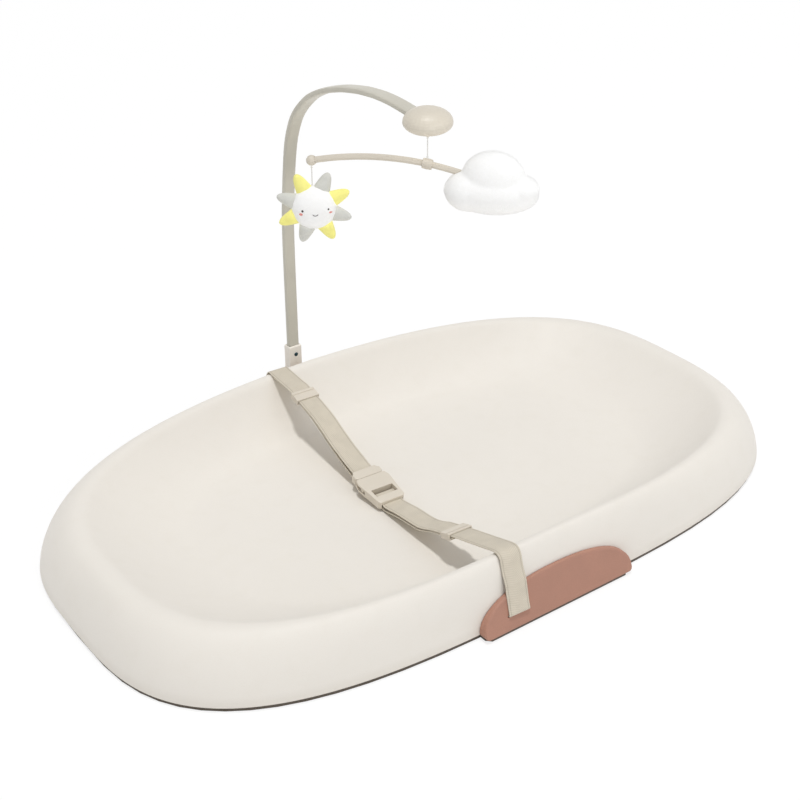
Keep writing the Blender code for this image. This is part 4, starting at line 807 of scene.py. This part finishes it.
def make_string(node, body):
    """A three-ply string with a knot at each end."""
    low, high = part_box(node)
    mid, long = centre(node), high.z - low.z
    strands = []
    count = max(24, int(long / PLY_STEP))
    for ply in range(PLIES):
        points = []
        for i in range(count + 1):
            rise = long * i / count
            a = math.tau * (rise / PLY_TURN + ply / PLIES)
            points.append((mid.x + PLY_OUT * math.cos(a), mid.y + PLY_OUT * math.sin(a), low.z + rise))
        strands.append(tube_mesh("ply_%d" % ply, points, PLY_R, CORD))
    for z in (low.z + KNOT_INSET, high.z - KNOT_INSET):
        points = []
        for i in range(KNOT_STEPS + 1):
            a = math.tau * KNOT_TURNS * i / KNOT_STEPS
            rise = KNOT_HALF * (2 * i / KNOT_STEPS - 1)
            points.append((mid.x + KNOT_OUT * math.cos(a), mid.y + KNOT_OUT * math.sin(a), z + rise))
        strands.append(tube_mesh("knot", points, KNOT_R, CORD))
    bm = bmesh.new()
    for obj in strands:
        bm.from_mesh(obj.data)
        bpy.data.objects.remove(obj, do_unlink=True)
    mesh = bpy.data.meshes.new(node + "_twist")
    bm.to_mesh(mesh)
    bm.free()
    mesh.materials.append(CORD)
    mesh.shade_smooth()
    out = bpy.data.objects.new(node + "_twist", mesh)
    SCENE.collection.objects.link(out)
    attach(out, body)
    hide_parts(node)


make_sun_body()
for ray_number, ray_angle in enumerate(RAY_ANGLES, 1):
    make_ray(ray_number, ray_angle)
make_face()
make_cloud()
make_string("bar_string", "hanger")
make_string("sun_string", "sun_hanger")


# Floor, background and lights

FLOOR_HALF, FLOOR_DROP = 9.0, 0.0002
PAPER = (0.95, 0.95, 0.95, 1.0)
PURE_WHITE = (1.0, 1.0, 1.0, 1.0)
PAPER_GLOW, PAPER_GLOW_SHARE = 1.05, 0.72
WORLD_STRENGTH = 0.46
SPOT_BLEND, SPOT_SOFT = 0.7, 0.12
AIM = (0.0, 0.0, 0.05)
# The key lamp draws the strap's shadow, but not that of the toys and their arm high above the mat
HIGH_UP = ("arm", "cap_plate", "string_stud", "bar", "sun", "cloud", "ray", "eye", "cheek", "smile")
CASTS_ANYWAY = ("arm_socket",)


def seen_directly(nodes, links):
    """1 for camera, mirror and glass rays, 0 for the light that reaches the object."""
    path = nodes.new("ShaderNodeLightPath")
    found = path.outputs["Is Camera Ray"]
    for kind in ("Is Glossy Ray", "Is Transmission Ray"):
        either = nodes.new("ShaderNodeMath")
        either.operation = "MAXIMUM"
        links.new(found, either.inputs[0])
        links.new(path.outputs[kind], either.inputs[1])
        found = either.outputs[0]
    return found


def mix_shaders(nodes, links, factor, first, second, output):
    both = nodes.new("ShaderNodeMixShader")
    links.new(factor, both.inputs[0])
    links.new(first.outputs[0], both.inputs[1])
    links.new(second.outputs[0], both.inputs[2])
    links.new(both.outputs[0], nodes[output].inputs["Surface"])


def make_floor():
    """Pale paper that looks white from above and keeps the object's shadow."""
    bm = bmesh.new()
    bmesh.ops.create_grid(bm, x_segments=1, y_segments=1, size=FLOOR_HALF)
    mesh = bpy.data.meshes.new("floor")
    bm.to_mesh(mesh)
    bm.free()
    floor = bpy.data.objects.new("floor", mesh)
    SCENE.collection.objects.link(floor)
    floor.location = (0.0, 0.0, -FLOOR_DROP)
    mat = bpy.data.materials.new("floor_paper")
    mat.use_nodes = True
    nodes, links = mat.node_tree.nodes, mat.node_tree.links
    paper = nodes["Principled BSDF"]
    paper.inputs["Base Color"].default_value = PAPER
    paper.inputs["Roughness"].default_value = 0.95
    paper.inputs["Specular IOR Level"].default_value = 0.0
    glow = nodes.new("ShaderNodeEmission")
    glow.inputs["Color"].default_value = PURE_WHITE
    glow.inputs["Strength"].default_value = PAPER_GLOW
    share = nodes.new("ShaderNodeMath")
    share.operation = "MULTIPLY"
    share.inputs[1].default_value = PAPER_GLOW_SHARE
    links.new(seen_directly(nodes, links), share.inputs[0])
    mix_shaders(nodes, links, share.outputs[0], paper, glow, "Material Output")
    mesh.materials.append(mat)


def make_world():
    world = bpy.data.worlds.new("studio")
    SCENE.world = world
    world.use_nodes = True
    nodes, links = world.node_tree.nodes, world.node_tree.links
    light = nodes["Background"]
    backdrop = nodes.new("ShaderNodeBackground")
    for node, strength in ((light, WORLD_STRENGTH), (backdrop, 1.0)):
        node.inputs["Color"].default_value = PURE_WHITE
        node.inputs["Strength"].default_value = strength
    mix_shaders(nodes, links, seen_directly(nodes, links), light, backdrop, "World Output")


def add_lamp(kind, name, place, aim, strength):
    """A lamp at a place, turned to its aim."""
    data = bpy.data.lights.new(name, kind)
    data.energy = strength
    lamp = bpy.data.objects.new(name, data)
    SCENE.collection.objects.link(lamp)
    lamp.location = place
    lamp.rotation_euler = (Vector(aim) - Vector(place)).to_track_quat("-Z", "Y").to_euler()
    return lamp


def area_light(name, place, size, watts):
    lamp = add_lamp("AREA", name, place, AIM, watts)
    lamp.data.shape = "DISK"
    lamp.data.size = size


def spot_light(name, place, aim, cone_deg, watts):
    lamp = add_lamp("SPOT", name, place, aim, watts)
    lamp.data.spot_size = math.radians(cone_deg)
    lamp.data.spot_blend = SPOT_BLEND
    lamp.data.shadow_soft_size = SPOT_SOFT


def sun_light(name, place, spread_deg, strength):
    lamp = add_lamp("SUN", name, place, (0.0, 0.0, 0.0), strength)
    lamp.data.angle = math.radians(spread_deg)
    casters = bpy.data.collections.new(name + "_casters")
    for other in SCENE.objects:
        low_down = other.name in CASTS_ANYWAY or not other.name.startswith(HIGH_UP)
        if other.type == "MESH" and low_down:
            casters.objects.link(other)
    lamp.light_linking.blocker_collection = casters


make_floor()
make_world()
sun_light("key", (-0.24, -0.24, 3.0), 6.0, 1.40)
area_light("front", (0.3, -2.4, 1.3), 1.8, 11.5)
spot_light("toys", (-0.85, -1.70, 0.36), (-0.01, 0.0, 0.385), 17.0, 18.0)

SCENE.view_settings.view_transform = "Standard"

bpy.context.view_layer.update()
